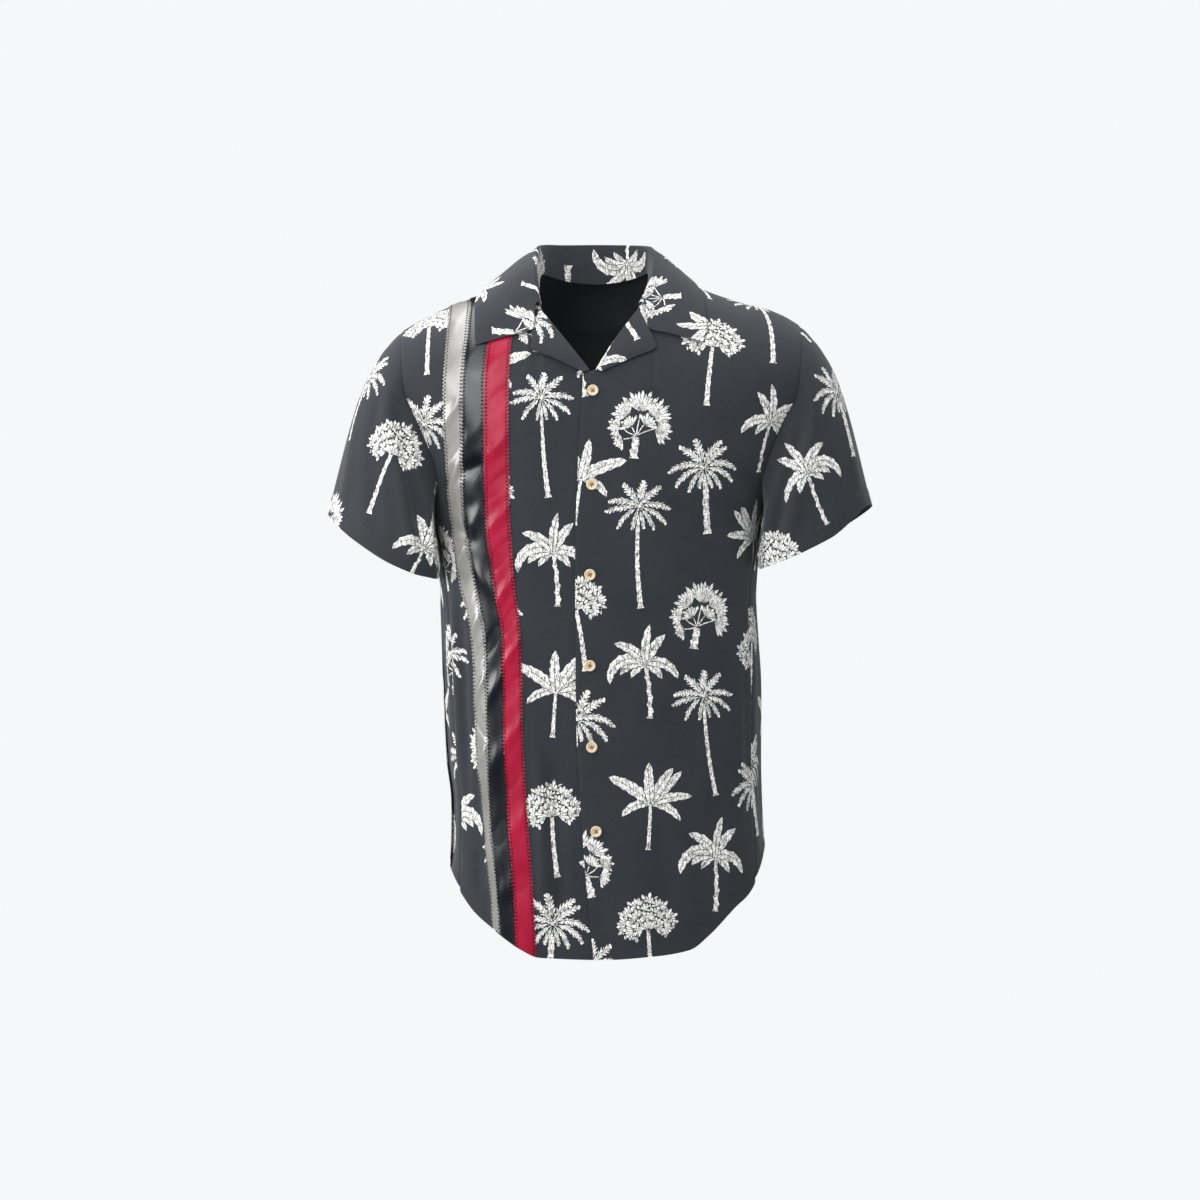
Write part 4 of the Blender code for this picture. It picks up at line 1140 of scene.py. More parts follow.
def makeCollar():
    grid = collarGrid()
    normals = gridNormals(grid)
    middle = grid.shape[1] // 2
    normals *= 1 if normals[-2, middle, 1] > 0 else -1
    flat = laidFlat("collar", grid, roughFlat(grid, normals, middle))
    grid = grid - edgeTuck(grid, ["bottom"], "collar")[..., None] * normals
    start, thickness = collarForm["printStart"], collarForm["thickness"]
    return {"piece": printedShell("collar", grid, normals, flat, start, thickness)}


lapelForm = {
    "lapel_right": {
        "roll": ((-12, -106), (-30, -83), (-47.5, -61), (-63.5, -41)),
        "edge": ((-17, -107.5), (-51, -92), (-72.5, -82.5), (-71.5, -67.5)), "printStart": (-40, -34)},
    "lapel_left": {
        "roll": ((-4, -106), (11, -82), (26.5, -60), (41, -41)),
        "edge": ((1, -107), (33, -93.5), (59, -80.5), (53.5, -67)), "printStart": (90, -30)},
    "lifts": (1.3, 3.0), "crown": 1.4, "thickness": 0.7, "rollRadius": 1.5,
    "rollRows": 9, "rows": 16, "columns": 30,
}


def makeLapel(name):
    # The turned-back top of a front: round the roll from behind the neck edge, then flat out to its edge.
    shape = lapelForm[name]
    at = np.linspace(0, 1, 4)
    fine = np.linspace(0, 1, lapelForm["columns"])
    roll, edge = (curveThrough(np.array(shape[line], float), at, fine) for line in ("roll", "edge"))
    share = np.linspace(0, 1, lapelForm["rows"])[:, None, None]
    level = roll + share * (edge - roll)
    points = np.stack([level[..., 0], np.zeros(level.shape[:2]), level[..., 1]], axis=-1)
    low, high = lapelForm["lifts"]
    share = share[..., 0]
    crown = lapelForm["crown"] * np.sin(np.pi * share) * np.sin(np.pi * fine)[None, :]
    lift = low + (high - low) * share ** 1.2 + crown
    face = onFront(points, lift)
    normals = facingOut(face, gridNormals(face))
    radius = lapelForm["rollRadius"]
    out, away = normals[0], unit(face[0] - face[1])
    away = unit(away - (away * out).sum(axis=-1, keepdims=True) * out)
    centre = face[0] - radius * out
    arc = np.radians(np.linspace(-80, 80, lapelForm["rollRows"]))
    turned = np.array([centre + radius * (np.cos(a) * away + np.sin(a) * out) for a in arc])
    grid = np.concatenate([turned, face])
    normals = gridNormals(grid)
    normals *= 1 if (normals[-3] * out).sum() > 0 else -1
    grid = grid - edgeTuck(grid, ["bottom"], "lapel")[..., None] * normals
    flat = laidFlat(name, grid, roughFlat(grid, normals, grid.shape[1] // 2))
    return {"piece": printedShell(name, grid, normals, flat, shape["printStart"], lapelForm["thickness"])}


# Ripples along each ribbon: height, how far it slants across the ribbon, length along it, and rise.
ribbonRipples = {
    "ribbon_white": (
        (-60, 20, 26, 1.2), (-112, -24, 22, -1.0), (-150, 26, 22, 1.5), (-188, 22, 18, -1.2),
        (-216, 28, 17, 1.7), (-262, -18, 24, -1.2), (-300, 24, 19, 1.5), (-338, 30, 20, -1.4),
        (-372, 26, 16, 1.8), (-408, 24, 16, -1.4), (-440, 28, 17, 1.9), (-476, -20, 20, -1.3),
        (-512, 26, 18, 1.7), (-556, -16, 26, -1.2), (-600, 20, 24, 1.4), (-650, 16, 30, -1.0)),
    "ribbon_black": (
        (-80, 22, 26, 0.5), (-130, -20, 24, -0.4), (-172, 24, 24, 0.5), (-214, 22, 26, -0.5),
        (-262, 26, 27, 0.9), (-326, -20, 30, 0.9), (-388, 24, 22, -1.0), (-438, 26, 27, 1.4),
        (-512, 22, 30, 0.9), (-590, 18, 34, -0.8), (-650, 16, 30, 0.7)),
    "ribbon_red": (
        (-96, 20, 26, 0.8), (-140, 22, 24, -0.8), (-186, 24, 22, 1.0), (-228, 22, 20, -1.0),
        (-262, 26, 18, 1.2), (-300, 24, 20, -1.2), (-336, 28, 17, 1.4), (-368, 26, 17, -1.2),
        (-402, 26, 18, 1.4), (-440, 22, 20, -1.0), (-486, 24, 22, 1.1), (-530, 26, 22, -1.0),
        (-580, 20, 26, 0.9), (-640, 16, 30, -0.7)),
}


def ribbonGrid(inner, outer, across):
    # Rows from the top of the shoulder down the front, of which the last ones follow the hem.
    def surface(z, share):
        left, right = (smoothCurve(ribbonForm["edges"], edge, z) for edge in (outer, inner))
        x = left + (right - left) * share
        points = bodyPoint(angleAt(x, z), z)
        points[..., 1] += underLap(points[..., 0])
        return points

    x = smoothCurve(ribbonForm["edges"], inner, -10.0)
    top = smoothCurve(bodyForm["shoulderLine"], 1, x - 12) - ribbonForm["gaps"]["top"]
    bottom = smoothCurve(bodyForm["frontHem"], 1, smoothCurve(ribbonForm["edges"], inner, -700.0) - 8)
    turn = smoothCurve(bodyForm["shoulderLine"], 2, x)
    quarter = turn * np.pi / 2
    run = np.arange(ribbonForm["gaps"]["start"], quarter + (top - turn - bottom), ribbonForm["rowPitch"])
    z = np.where(run < quarter, top - turn * (1 - np.cos(run / turn)), top - turn - (run - quarter))
    heights = z[:, None] + 0 * across[None, :]
    x = surface(heights, across[None, :])[..., 0]
    ends = smoothCurve(bodyForm["frontHem"], 1, x) + ribbonForm["gaps"]["hem"]
    tips = smoothCurve(bodyForm["shoulderLine"], 1, x) - ribbonForm["gaps"]["shoulder"]
    below = -heights - ribbonForm["hemFrom"]
    low = smoothStep(below / 100)
    lower = heights + (ends - bottom) * smoothStep(below / (-bottom - ribbonForm["hemFrom"]))
    heights = np.minimum(heights * (1 - low) + low * lower, tips)
    return surface(heights, across[None, :]), heights


def makeRibbon(name, inner, outer, paths):
    # A satin ribbon on the right front, drawn in a little at each stitch, so that it ripples.
    across = np.linspace(0, 1, ribbonForm["columns"])
    across = (1 - np.cos(np.pi * across)) / 2 * 0.35 + across * 0.65
    grid, heights = ribbonGrid(inner, outer, across)
    normals = facingOut(grid, gridNormals(grid))
    side = unit(np.gradient(grid, axis=1))
    length = runAlong(grid[:, 5])[:, None]
    beat = np.cos(2 * np.pi * length / ribbonForm["stitchPitch"])
    edgeShare = np.where(across < 0.5, 1, -1)[None, :] * (np.abs(across - 0.5) > 0.49)
    crown = 4 * across * (1 - across)
    ripple = np.zeros(grid.shape[:2])
    for height, slant, reach, rise in ribbonRipples[name]:
        middle = height + slant * (across[None, :] - 0.5)
        ripple += ribbonForm["rippleRise"] * rise * np.exp(-((heights - middle) / (reach * 0.45)) ** 2)
    ripple = ripple * (0.3 + 0.7 * crown[None, :])
    fromEdge = (np.abs(across - 0.5) - 0.5) * np.linalg.norm(grid[:, :1] - grid[:, -1:], axis=-1)
    pull = -ribbonForm["pull"] * np.exp(-(fromEdge + ribbonForm["stitchInset"]) ** 2 / 0.9)
    pull = pull * (0.7 + 0.3 * beat)
    shift = creaseShift(grid, paths) + ribbonForm["lift"] + ribbonForm["thickness"]
    shift = shift + ribbonForm["crown"] * crown[None, :] + np.maximum(ripple, ribbonForm["lowest"]) + pull
    grid = grid + shift[..., None] * normals + (ribbonForm["scallop"] * beat * edgeShare)[..., None] * side
    normals = facingOut(grid, gridNormals(grid))
    rows, columns = grid.shape[:2]
    faces = gridTriangles(rows, columns)
    corners = grid.reshape(-1, 3)[faces]
    made = np.cross(corners[:, 1] - corners[:, 0], corners[:, 2] - corners[:, 0])
    if (made * normals.reshape(-1, 3)[faces[:, 0]]).sum() < 0:
        faces = faces[:, ::-1]
    wide = np.linalg.norm(grid[:, :1] - grid[:, -1:], axis=-1) * across[None, :]
    spots = np.stack([wide, -length + 0 * wide], axis=-1).reshape(-1, 2)
    satin = satinMaterials[name]
    skin = (grid.reshape(-1, 3), normals.reshape(-1, 3), faces, spots)
    outline = outlineOf(faces)
    rims, slots = (outline, outline), np.zeros(len(faces), int)
    piece = shell(name, skin, skin, rims, slots, ribbonForm["thickness"], [satin, satin, satin])
    print(name, "triangles", len(piece.data.polygons), "length", round(float(length[-1, 0])))
    return {"piece": piece, "grid": grid, "normals": normals, "wide": wide}


def stitchRow(name, centres, along, facing, length, radius, material):
    # Short thread stitches as one mesh: each a small bead pinched at both ends.
    rings = np.array([-0.5, -0.3, 0.0, 0.3, 0.5])
    swell = np.array([0.15, 0.85, 1.0, 0.85, 0.15])
    turns = np.radians(np.arange(0, 360, 72))
    side = np.cross(along, facing)
    points = []
    for place, size in zip(rings, swell):
        for turn in turns:
            spoke = np.cos(turn) * side + 0.8 * np.sin(turn) * facing
            points.append(centres + place * length * along + radius * size * spoke)
    points = np.stack(points, axis=1)
    ring = len(turns)
    faces = []
    for level in range(len(rings) - 1):
        for k in range(ring):
            a, b = level * ring + k, level * ring + (k + 1) % ring
            faces += [(a, b, b + ring), (a, b + ring, a + ring)]
    faces = np.array(faces)
    every = (faces[None] + (np.arange(len(centres)) * points.shape[1])[:, None, None]).reshape(-1, 3)
    return buildMesh(name, points.reshape(-1, 3), every, None, [material], np.zeros(len(every), int))


def evenlyAlong(line, facing, first, pitch, height):
    # Places at an even pitch along a line and that far above it, with the directions along and out.
    run = runAlong(line)
    stops = np.arange(first, run[-1] - 1, pitch)
    centres, out = between(stops, run, line), unit(between(stops, run, facing))
    return centres + height * out, unit(np.gradient(centres, axis=0)), out


def lineOnRibbon(ribbon, share):
    # The line down a ribbon that runs that share of the way across, and the normals along it.
    grid, normals = ribbon["grid"], ribbon["normals"]
    wide = np.linalg.norm(grid[:, 0] - grid[:, -1], axis=-1)
    across = np.linspace(0, grid.shape[1] - 1, grid.shape[1])
    column = np.interp(share, ribbon["wide"][100] / ribbon["wide"][100, -1], across) + 0 * wide
    low = np.clip(column.astype(int), 0, grid.shape[1] - 2)
    part = (column - low)[:, None]
    rows = np.arange(len(grid))
    line = grid[rows, low] * (1 - part) + grid[rows, low + 1] * part
    return line, unit(normals[rows, low] * (1 - part) + normals[rows, low + 1] * part)


buttonForm = {
    "places": ((-7.5, -128), (-8.5, -226), (-10.5, -320), (-10.5, -415), (-8.5, -500), (-4, -588)),
    "radius": 5.9, "thickness": 2.4, "sides": 48, "holeRadius": 0.82, "holeReach": 1.75, "holeSides": 16,
    "profile": (  # shares of the radius and of the thickness, from the middle of the face round to the back
        (0.0, 0.5), (0.3, 0.5), (0.52, 0.53), (0.62, 0.62), (0.7, 0.84), (0.77, 0.97), (0.84, 1),
        (0.91, 0.96), (0.97, 0.84), (1, 0.64), (0.99, 0.44), (0.93, 0.2), (0.8, 0.04), (0.6, 0.0),
        (0.0, 0.0)),
    "lift": 0.55, "turns": (12, 40, 78, 25, 60, 8), "sharpFrom": 38,
    "threadRadius": 0.32, "threadShift": 0.22, "threadRises": (0.32, 0.55),
    "threadRings": 9, "threadSides": 6,
}


def buttonDisc():
    rim, depth = buttonForm["radius"], buttonForm["thickness"]
    profile = [(out * rim, up * depth) for out, up in buttonForm["profile"]]
    sides = buttonForm["sides"]
    turn = np.linspace(0, 2 * np.pi, sides, endpoint=False)
    points = [(0, 0, profile[0][1])]
    for radius, height in profile[1:-1]:
        points += [(radius * np.cos(a), radius * np.sin(a), height) for a in turn]
    points.append((0, 0, 0.0))
    faces = []
    for k in range(sides):
        n = (k + 1) % sides
        faces.append((0, 1 + k, 1 + n))
        for ring in range(len(profile) - 3):
            a, b = 1 + ring * sides, 1 + (ring + 1) * sides
            faces.append((a + k, b + k, b + n, a + n))
        base = 1 + (len(profile) - 3) * sides
        faces.append((base + k, len(points) - 1, base + n))
    mesh = bpy.data.meshes.new("buttonDisc")
    mesh.from_pydata(points, [], faces)
    disc = addObject("buttonDisc", mesh)
    cutters = []
    for hole in range(4):
        spin = np.radians(45 + 90 * hole)
        x, y = buttonForm["holeReach"] * np.cos(spin), buttonForm["holeReach"] * np.sin(spin)
        radius, count = buttonForm["holeRadius"], buttonForm["holeSides"]
        turn = np.linspace(0, 2 * np.pi, count, endpoint=False)
        ring = [(x + radius * np.cos(a), y + radius * np.sin(a)) for a in turn]
        ends = [(px, py, height) for height in (-2.0, 5.0) for px, py in ring]
        walls = [tuple(range(count - 1, -1, -1)), tuple(range(count, 2 * count))]
        walls += [(k, (k + 1) % count, count + (k + 1) % count, count + k) for k in range(count)]
        rod = bpy.data.meshes.new("holeRod")
        rod.from_pydata(ends, [], walls)
        cutter = addObject("holeRod", rod)
        cut = disc.modifiers.new("hole", "BOOLEAN")
        cut.operation, cut.solver, cut.object = "DIFFERENCE", "EXACT", cutter
        cutters.append(cutter)
    bpy.context.view_layer.update()
    made = bpy.data.meshes.new_from_object(disc.evaluated_get(bpy.context.evaluated_depsgraph_get()))
    corners = np.array([tuple(v.co) for v in made.vertices])
    faces = [tuple(face.vertices) for face in made.polygons]
    for item in (disc, *cutters):
        bpy.data.objects.remove(item)
    return corners, faces


def threadStrand(start, end, rise):
    # One bar of thread from hole to hole, as a bent tube.
    rows, sides = buttonForm["threadRings"], buttonForm["threadSides"]
    share = np.linspace(0, 1, rows)[:, None]
    base = np.array(start, float) * (1 - share) + np.array(end, float) * share
    base[:, 2] += rise * (1 - (2 * share[:, 0] - 1) ** 6) - 1.2 * (np.abs(2 * share[:, 0] - 1) > 0.99)
    along = unit(np.gradient(base, axis=0))
    side = unit(np.cross(along, np.array([0, 0, 1.0])))
    up = np.cross(side, along)
    turn = np.radians(np.arange(0, 360, 360 // sides))[:, None]
    rings = [np.cos(turn) * side[k] + np.sin(turn) * up[k] for k in range(rows)]
    rings = [base[k] + buttonForm["threadRadius"] * rings[k] for k in range(rows)]
    faces = []
    for k in range(0, (rows - 1) * sides, sides):
        for n in range(sides):
            m = (n + 1) % sides
            faces.append((k + n, k + m, k + sides + m, k + sides + n))
    return np.concatenate(rings), faces


def smoothMesh(name, points, faces, material):
    mesh = bpy.data.meshes.new(name)
    mesh.from_pydata((points / 1000).tolist(), [], faces)
    mesh.materials.append(material)
    mesh.update()
    mesh.shade_smooth()
    return addObject(name, mesh)


def makeButton(number, disc):
    # The disc on the lap at its own turn, and four bars of thread through its holes.
    x, z = buttonForm["places"][number - 1]
    around = [np.array(place, float) for place in ((x, z), (x + 3, z), (x, z + 3))]
    spots = [bodyPoint(angleAt(px, pz), pz) for px, pz in around]
    right = unit(spots[1] - spots[0])
    out = unit(np.cross(right, spots[2] - spots[0]))
    out = out if out[1] < 0 else -out
    rise = np.cross(out, right)
    base = spots[0] + buttonForm["lift"] * out
    spin = np.radians(buttonForm["turns"][number - 1])
    turned = np.array([[np.cos(spin), np.sin(spin), 0], [-np.sin(spin), np.cos(spin), 0], [0, 0, 1]])
    frameOf = np.array([right, rise, out])
    corners, faces = disc
    button = smoothMesh(f"button_{number}", base + corners @ turned @ frameOf, faces, buttonMaterial)
    button.data.set_sharp_from_angle(angle=np.radians(buttonForm["sharpFrom"]))
    reach = buttonForm["holeReach"]
    height = 0.5 * buttonForm["thickness"]
    angles = np.radians((45, 135, 225, 315))
    holes = np.stack([reach * np.cos(angles), reach * np.sin(angles), height + 0 * angles], axis=-1)
    points, strands, count = [], [], 0
    for first, arch in enumerate(buttonForm["threadRises"]):
        start, end = holes[first], holes[first + 2]
        for hand in (1, -1):
            side = unit(np.cross(end - start, np.array([0, 0, 1.0]))) * hand * buttonForm["threadShift"]
            tube, tubeFaces = threadStrand(start + side, end + side, arch)
            points.append(tube)
            strands += [tuple(k + count for k in face) for face in tubeFaces]
            count += len(tube)
    points = base + np.concatenate(points) @ turned @ frameOf
    return button, smoothMesh(f"button_thread_{number}", points, strands, threadMaterials["button"])


# Materials: each one's colours and scales in its own entry.

finishes = {
    "cloth": {
        "base": (0.0185, 0.0215, 0.0265), "light": (0.025, 0.0285, 0.0345),
        "roughness": 0.85, "sheen": 0.12, "shine": 0.2, "weave": 0.42},
    "ink": {
        "base": (0.80, 0.79, 0.76), "shade": (0.36, 0.36, 0.355), "dark": (0.06, 0.063, 0.068),
        "roughness": 0.78, "sheen": 0.05, "shine": 0.2, "weave": 0.42},
    "reverse": {
        "base": (0.026, 0.029, 0.033), "light": (0.034, 0.037, 0.042),
        "roughness": 0.9, "sheen": 0.1, "shine": 0.2, "weave": 0.42},
    "ribbon_white": {
        "base": (0.195, 0.192, 0.18), "light": (0.26, 0.256, 0.242),
        "roughness": 0.26, "sheen": 0.05, "shine": 1.0},
    "ribbon_black": {
        "base": (0.003, 0.004, 0.007), "light": (0.007, 0.009, 0.013),
        "roughness": 0.25, "sheen": 0.0, "shine": 0.6},
    "ribbon_red": {
        "base": (0.25, 0.002, 0.022), "light": (0.345, 0.005, 0.034),
        "roughness": 0.29, "sheen": 0.03, "shine": 0.24},
    "button": {
        "base": (0.50, 0.38, 0.24), "light": (0.66, 0.54, 0.38),
        "roughness": 0.42, "sheen": 0.0, "shine": 0.5, "coat": 0.15},
}
threads = {
    "cloth": {"name": "clothThread", "base": (0.03, 0.034, 0.04), "light": (0.05, 0.055, 0.062)},
    # The white and red ribbons' threads are darker than their ribbons. Part of that darkness is painted shade
    # for the shadow in the needle holes along the ribbon edges, on top of the thread's own colour.
    "ribbon_white": {"name": "whiteThreadWithPaintedShade", "base": (0.014, 0.014, 0.015), "light": (0.045, 0.045, 0.045)},
    "ribbon_black": {"name": "blackThread", "base": (0.003, 0.0035, 0.0045), "light": (0.006, 0.007, 0.009)},
    "ribbon_red": {"name": "redThreadWithPaintedShade", "base": (0.012, 0.001, 0.003), "light": (0.04, 0.002, 0.008)},
    "button": {"name": "buttonThread", "base": (0.20, 0.16, 0.09), "light": (0.11, 0.085, 0.05)},
}


def newMaterial(name, finish):
    material = bpy.data.materials.new(name)
    material.use_nodes = True
    shader = material.node_tree.nodes["Principled BSDF"]
    shader.inputs["Roughness"].default_value = finish["roughness"]
    shader.inputs["Sheen Weight"].default_value = finish["sheen"]
    shader.inputs["Sheen Roughness"].default_value = 0.5
    shader.inputs["Coat Weight"].default_value = finish.get("coat", 0.0)
    shader.inputs["Coat Roughness"].default_value = 0.3
    shader.inputs["Specular IOR Level"].default_value = finish["shine"]
    return material, shader


def addNode(material, kind, inputs=None, **settings):
    node = material.node_tree.nodes.new(kind)
    for key, value in settings.items():
        setattr(node, key, value)
    for key, value in (inputs or {}).items():
        if hasattr(value, "is_output"):
            material.node_tree.links.new(value, node.inputs[key])
        else:
            node.inputs[key].default_value = value
    return node


def mixColour(material, share, first, second):
    mix = addNode(material, "ShaderNodeMix", data_type="RGBA")
    for socket, value in ((mix.inputs[0], share), (mix.inputs[6], first), (mix.inputs[7], second)):
        if hasattr(value, "is_output"):
            material.node_tree.links.new(value, socket)
        else:
            socket.default_value = value
    return mix.outputs[2]


def addNoise(material, vector, scale, detail, **more):
    inputs = {"Vector": vector, "Scale": scale, "Detail": detail, **more}
    return addNode(material, "ShaderNodeTexNoise", inputs).outputs["Fac"]


def stretched(material, vector, scale, turn=0.0):
    inputs = {"Vector": vector, "Rotation": (0.0, 0.0, turn), "Scale": scale}
    return addNode(material, "ShaderNodeMapping", inputs).outputs[0]


def addMath(material, operation, first, second):
    return addNode(material, "ShaderNodeMath", {0: first, 1: second}, operation=operation).outputs[0]


def ramp(material, value, low, high):
    inputs = {"Value": value, "From Min": low, "From Max": high}
    return addNode(material, "ShaderNodeMapRange", inputs).outputs[0]


def addColour(material, shader, share, first, second):
    colour = mixColour(material, share, first, second)
    material.node_tree.links.new(colour, shader.inputs["Base Color"])


def addTones(material, shader, share, tones):
    addColour(material, shader, share, (*tones["base"], 1), (*tones["light"], 1))


def addBump(material, shader, height, strength, distance):
    inputs = {"Strength": strength, "Distance": distance, "Height": height}
    bump = addNode(material, "ShaderNodeBump", inputs)
    material.node_tree.links.new(bump.outputs[0], shader.inputs["Normal"])


def weaveBump(material, shader, pitch, strength, distance):
    # Over and under threads both ways, from the cloth's own flat sizes.
    spots = addNode(material, "ShaderNodeUVMap", uv_map="UVMap").outputs[0]
    inputs = {"Vector": spots, "Scale": 1000 / pitch / 6.2832 * 0.314, "Distortion": 0.4, "Detail": 1.0}
    waves = [
        addNode(material, "ShaderNodeTexWave", inputs, wave_type="BANDS", bands_direction=way).outputs["Fac"]
        for way in ("X", "Y")]
    addBump(material, shader, addMath(material, "MAXIMUM", *waves), strength, distance)
    return spots


def clothMaterial(name):
    finish = finishes[name]
    material, shader = newMaterial(name, finish)
    spots = weaveBump(material, shader, finish["weave"], 0.25, 0.00012)
    broad = addNoise(material, spots, 14.0, 4.0, Roughness=0.6)
    slubs = addNoise(material, stretched(material, spots, (420.0, 60.0, 1.0)), 3.0, 2.0)
    share = addMath(material, "MULTIPLY", broad, slubs)
    addTones(material, shader, ramp(material, share, 0.12, 0.42), finish)
    return material


def inkMaterial():
    # Pale ink with the fine dark scratches of an engraving.
    finish = finishes["ink"]
    material, shader = newMaterial("ink", finish)
    spots = weaveBump(material, shader, finish["weave"], 0.2, 0.0001)
    scratches = []
    for turn, scale in ((0.5, (520.0, 130.0, 1.0)), (-0.7, (480.0, 120.0, 1.0))):
        noise = addNoise(material, stretched(material, spots, scale, turn), 1.5, 2.0, Roughness=0.6)
        scratches.append(ramp(material, noise, 0.565, 0.63))
    share = addMath(material, "MULTIPLY", addMath(material, "MAXIMUM", *scratches), 0.85)
    shade = ramp(material, addNoise(material, spots, 190.0, 3.0, Roughness=0.6), 0.46, 0.66)
    tone = mixColour(material, shade, (*finish["base"], 1), (*finish["shade"], 1))
    addColour(material, shader, share, tone, (*finish["dark"], 1))
    return material


def satinMaterial(name):
    # Satin: fine lengthwise threads, a soft gloss and a slightly brighter bloom in places.
    finish = finishes[name]
    material, shader = newMaterial(name, finish)
    spots = addNode(material, "ShaderNodeUVMap", uv_map="UVMap").outputs[0]
    fibres = addNoise(material, stretched(material, spots, (900.0, 30.0, 1.0)), 2.0, 3.0)
    bloom = addNoise(material, spots, 22.0, 2.0)
    share = addMath(material, "MULTIPLY", fibres, bloom)
    addTones(material, shader, ramp(material, share, 0.14, 0.4), finish)
    limits = {"Value": bloom, "To Min": finish["roughness"] - 0.06, "To Max": finish["roughness"] + 0.08}
    rough = addNode(material, "ShaderNodeMapRange", limits)
    material.node_tree.links.new(rough.outputs[0], shader.inputs["Roughness"])
    addBump(material, shader, fibres, 0.25, 0.0001)
    return material


def hornMaterial():
    finish = finishes["button"]
    material, shader = newMaterial("button", finish)
    place = addNode(material, "ShaderNodeTexCoord").outputs["Object"]
    grain = stretched(material, place, (900.0, 900.0, 160.0))
    streaks = addNoise(material, grain, 1.2, 4.0, Roughness=0.62)
    addTones(material, shader, ramp(material, streaks, 0.34, 0.66), finish)
    addBump(material, shader, streaks, 0.2, 0.0001)
    return material


def threadMaterial(tones):
    material, shader = newMaterial(tones["name"], {"roughness": 0.7, "sheen": 0.05, "shine": 0.2})
    place = addNode(material, "ShaderNodeTexCoord").outputs["Object"]
    addTones(material, shader, addNoise(material, place, 900.0, 2.0), tones)
    return material


clothMaterials = [clothMaterial("cloth"), inkMaterial(), clothMaterial("reverse")]
satinMaterials = {name: satinMaterial(name) for name in ("ribbon_white", "ribbon_black", "ribbon_red")}
threadMaterials = {name: threadMaterial(tones) for name, tones in threads.items()}
buttonMaterial = hornMaterial()
print("materials made")

# The garment.

paths = creasePaths()
left = finishPanel("front_left", paths)
right = finishPanel("front_right", paths)
back = finishPanel("back", paths)
sleeveLeft = makeSleeve("sleeve_left", left, back, 0)
sleeveRight = makeSleeve("sleeve_right", right, back, -1)
collar = makeCollar()
lapelRight = makeLapel("lapel_right")
lapelLeft = makeLapel("lapel_left")
print("cloth made")

ribbons = {}
pitch, sizes = ribbonForm["stitchPitch"], (ribbonForm["stitchLength"], ribbonForm["stitchRadius"])
for name, inner, outer in (("ribbon_red", 4, 3), ("ribbon_black", 3, 2), ("ribbon_white", 2, 1)):
    ribbons[name] = makeRibbon(name, inner, outer, paths)
    stitches = []
    for label, share in ribbonForm["stitchRows"]:
        line, facing = lineOnRibbon(ribbons[name], share)
        places = evenlyAlong(line, facing, pitch, pitch, ribbonForm["stitchHeight"])
        row = stitchRow(f"{name}_stitches_{label}", *places, *sizes, threadMaterials[name])
        stitches.append(row)
    ribbons[name]["stitches"] = stitches
print("ribbons made")

disc = buttonDisc()
buttons = [makeButton(number, disc) for number in range(1, len(buttonForm["places"]) + 1)]
print("buttons made")


hemThread = {"first": 2, "pitch": 3.0, "height": 0.1, "length": 2.2, "radius": 0.2}


def hemStitches(name, part, depth):
    grid, normals = part["grid"], part["normals"]
    rise = riseAbove(grid)
    line, facing = [], []
    for column in range(grid.shape[1]):
        line.append(between(-depth, -rise[:, column], grid[:, column]))
        facing.append(between(-depth, -rise[:, column], normals[:, column]))
    line, facing = np.array(line), unit(np.array(facing))
    places = evenlyAlong(line, facing, hemThread["first"], hemThread["pitch"], hemThread["height"])
    sizes = hemThread["length"], hemThread["radius"]
    return stitchRow(name + "_hem_stitches", *places, *sizes, threadMaterials["cloth"])


hemRows = {}
for name, part in (("front_left", left), ("front_right", right), ("back", back)):
    hemRows[name] = hemStitches(name, part, bodyForm["hem"])
for name, part in (("sleeve_left", sleeveLeft), ("sleeve_right", sleeveRight)):
    hemRows[name] = hemStitches(name, part, sleeveForm["hem"])

# What each piece stands for in the frame: each is renamed and hung on the root, and the frame's own part is
# hidden.

parts = {
    "front_left": left, "front_right": right, "back": back, "sleeve_left": sleeveLeft,
    "sleeve_right": sleeveRight, "collar": collar, "lapel_left": lapelLeft, "lapel_right": lapelRight}
for name, part in parts.items():
    piece = part["piece"]
    piece.name = name + "_cloth"
    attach(piece, "root")
    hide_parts(name)
    trims = [hemRows[name]] if name in hemRows else []
    for trim in trims:
        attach(trim, "root")
for name, ribbon in ribbons.items():
    piece = ribbon["piece"]
    piece.name = name + "_satin"
    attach(piece, "root")
    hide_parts(name)
    for trim in ribbon["stitches"]:
        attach(trim, "root")
for number, (button, thread) in enumerate(buttons, start=1):
    button.name = f"button_{number}_disc"
    for piece in (button, thread):
        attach(piece, "root")
    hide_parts(f"button_{number}")
print("frame set")

# The stage: a pale floor that runs out into the surroundings, soft lights, and the camera in front.

stage = {
    "floorHeight": -1.42,
    "floorRings": (0.8, 1.6, 3.2, 14.0),
    "floorSides": 96,
    "floorColour": (0.88, 0.89, 0.90),
    "fadeFrom": 1.4,
    "fadeTo": 3.2,
    "pale": (0.922, 0.930, 0.947),
    "dim": (0.13, 0.134, 0.142),
    "dimFrom": 0.095,
    "dimTo": 0.2,
    "cameraDistance": 7.0,
    "cameraHeight": -0.3465,
    "viewWidth": 1.26,
    "focusDepth": -0.06,
}


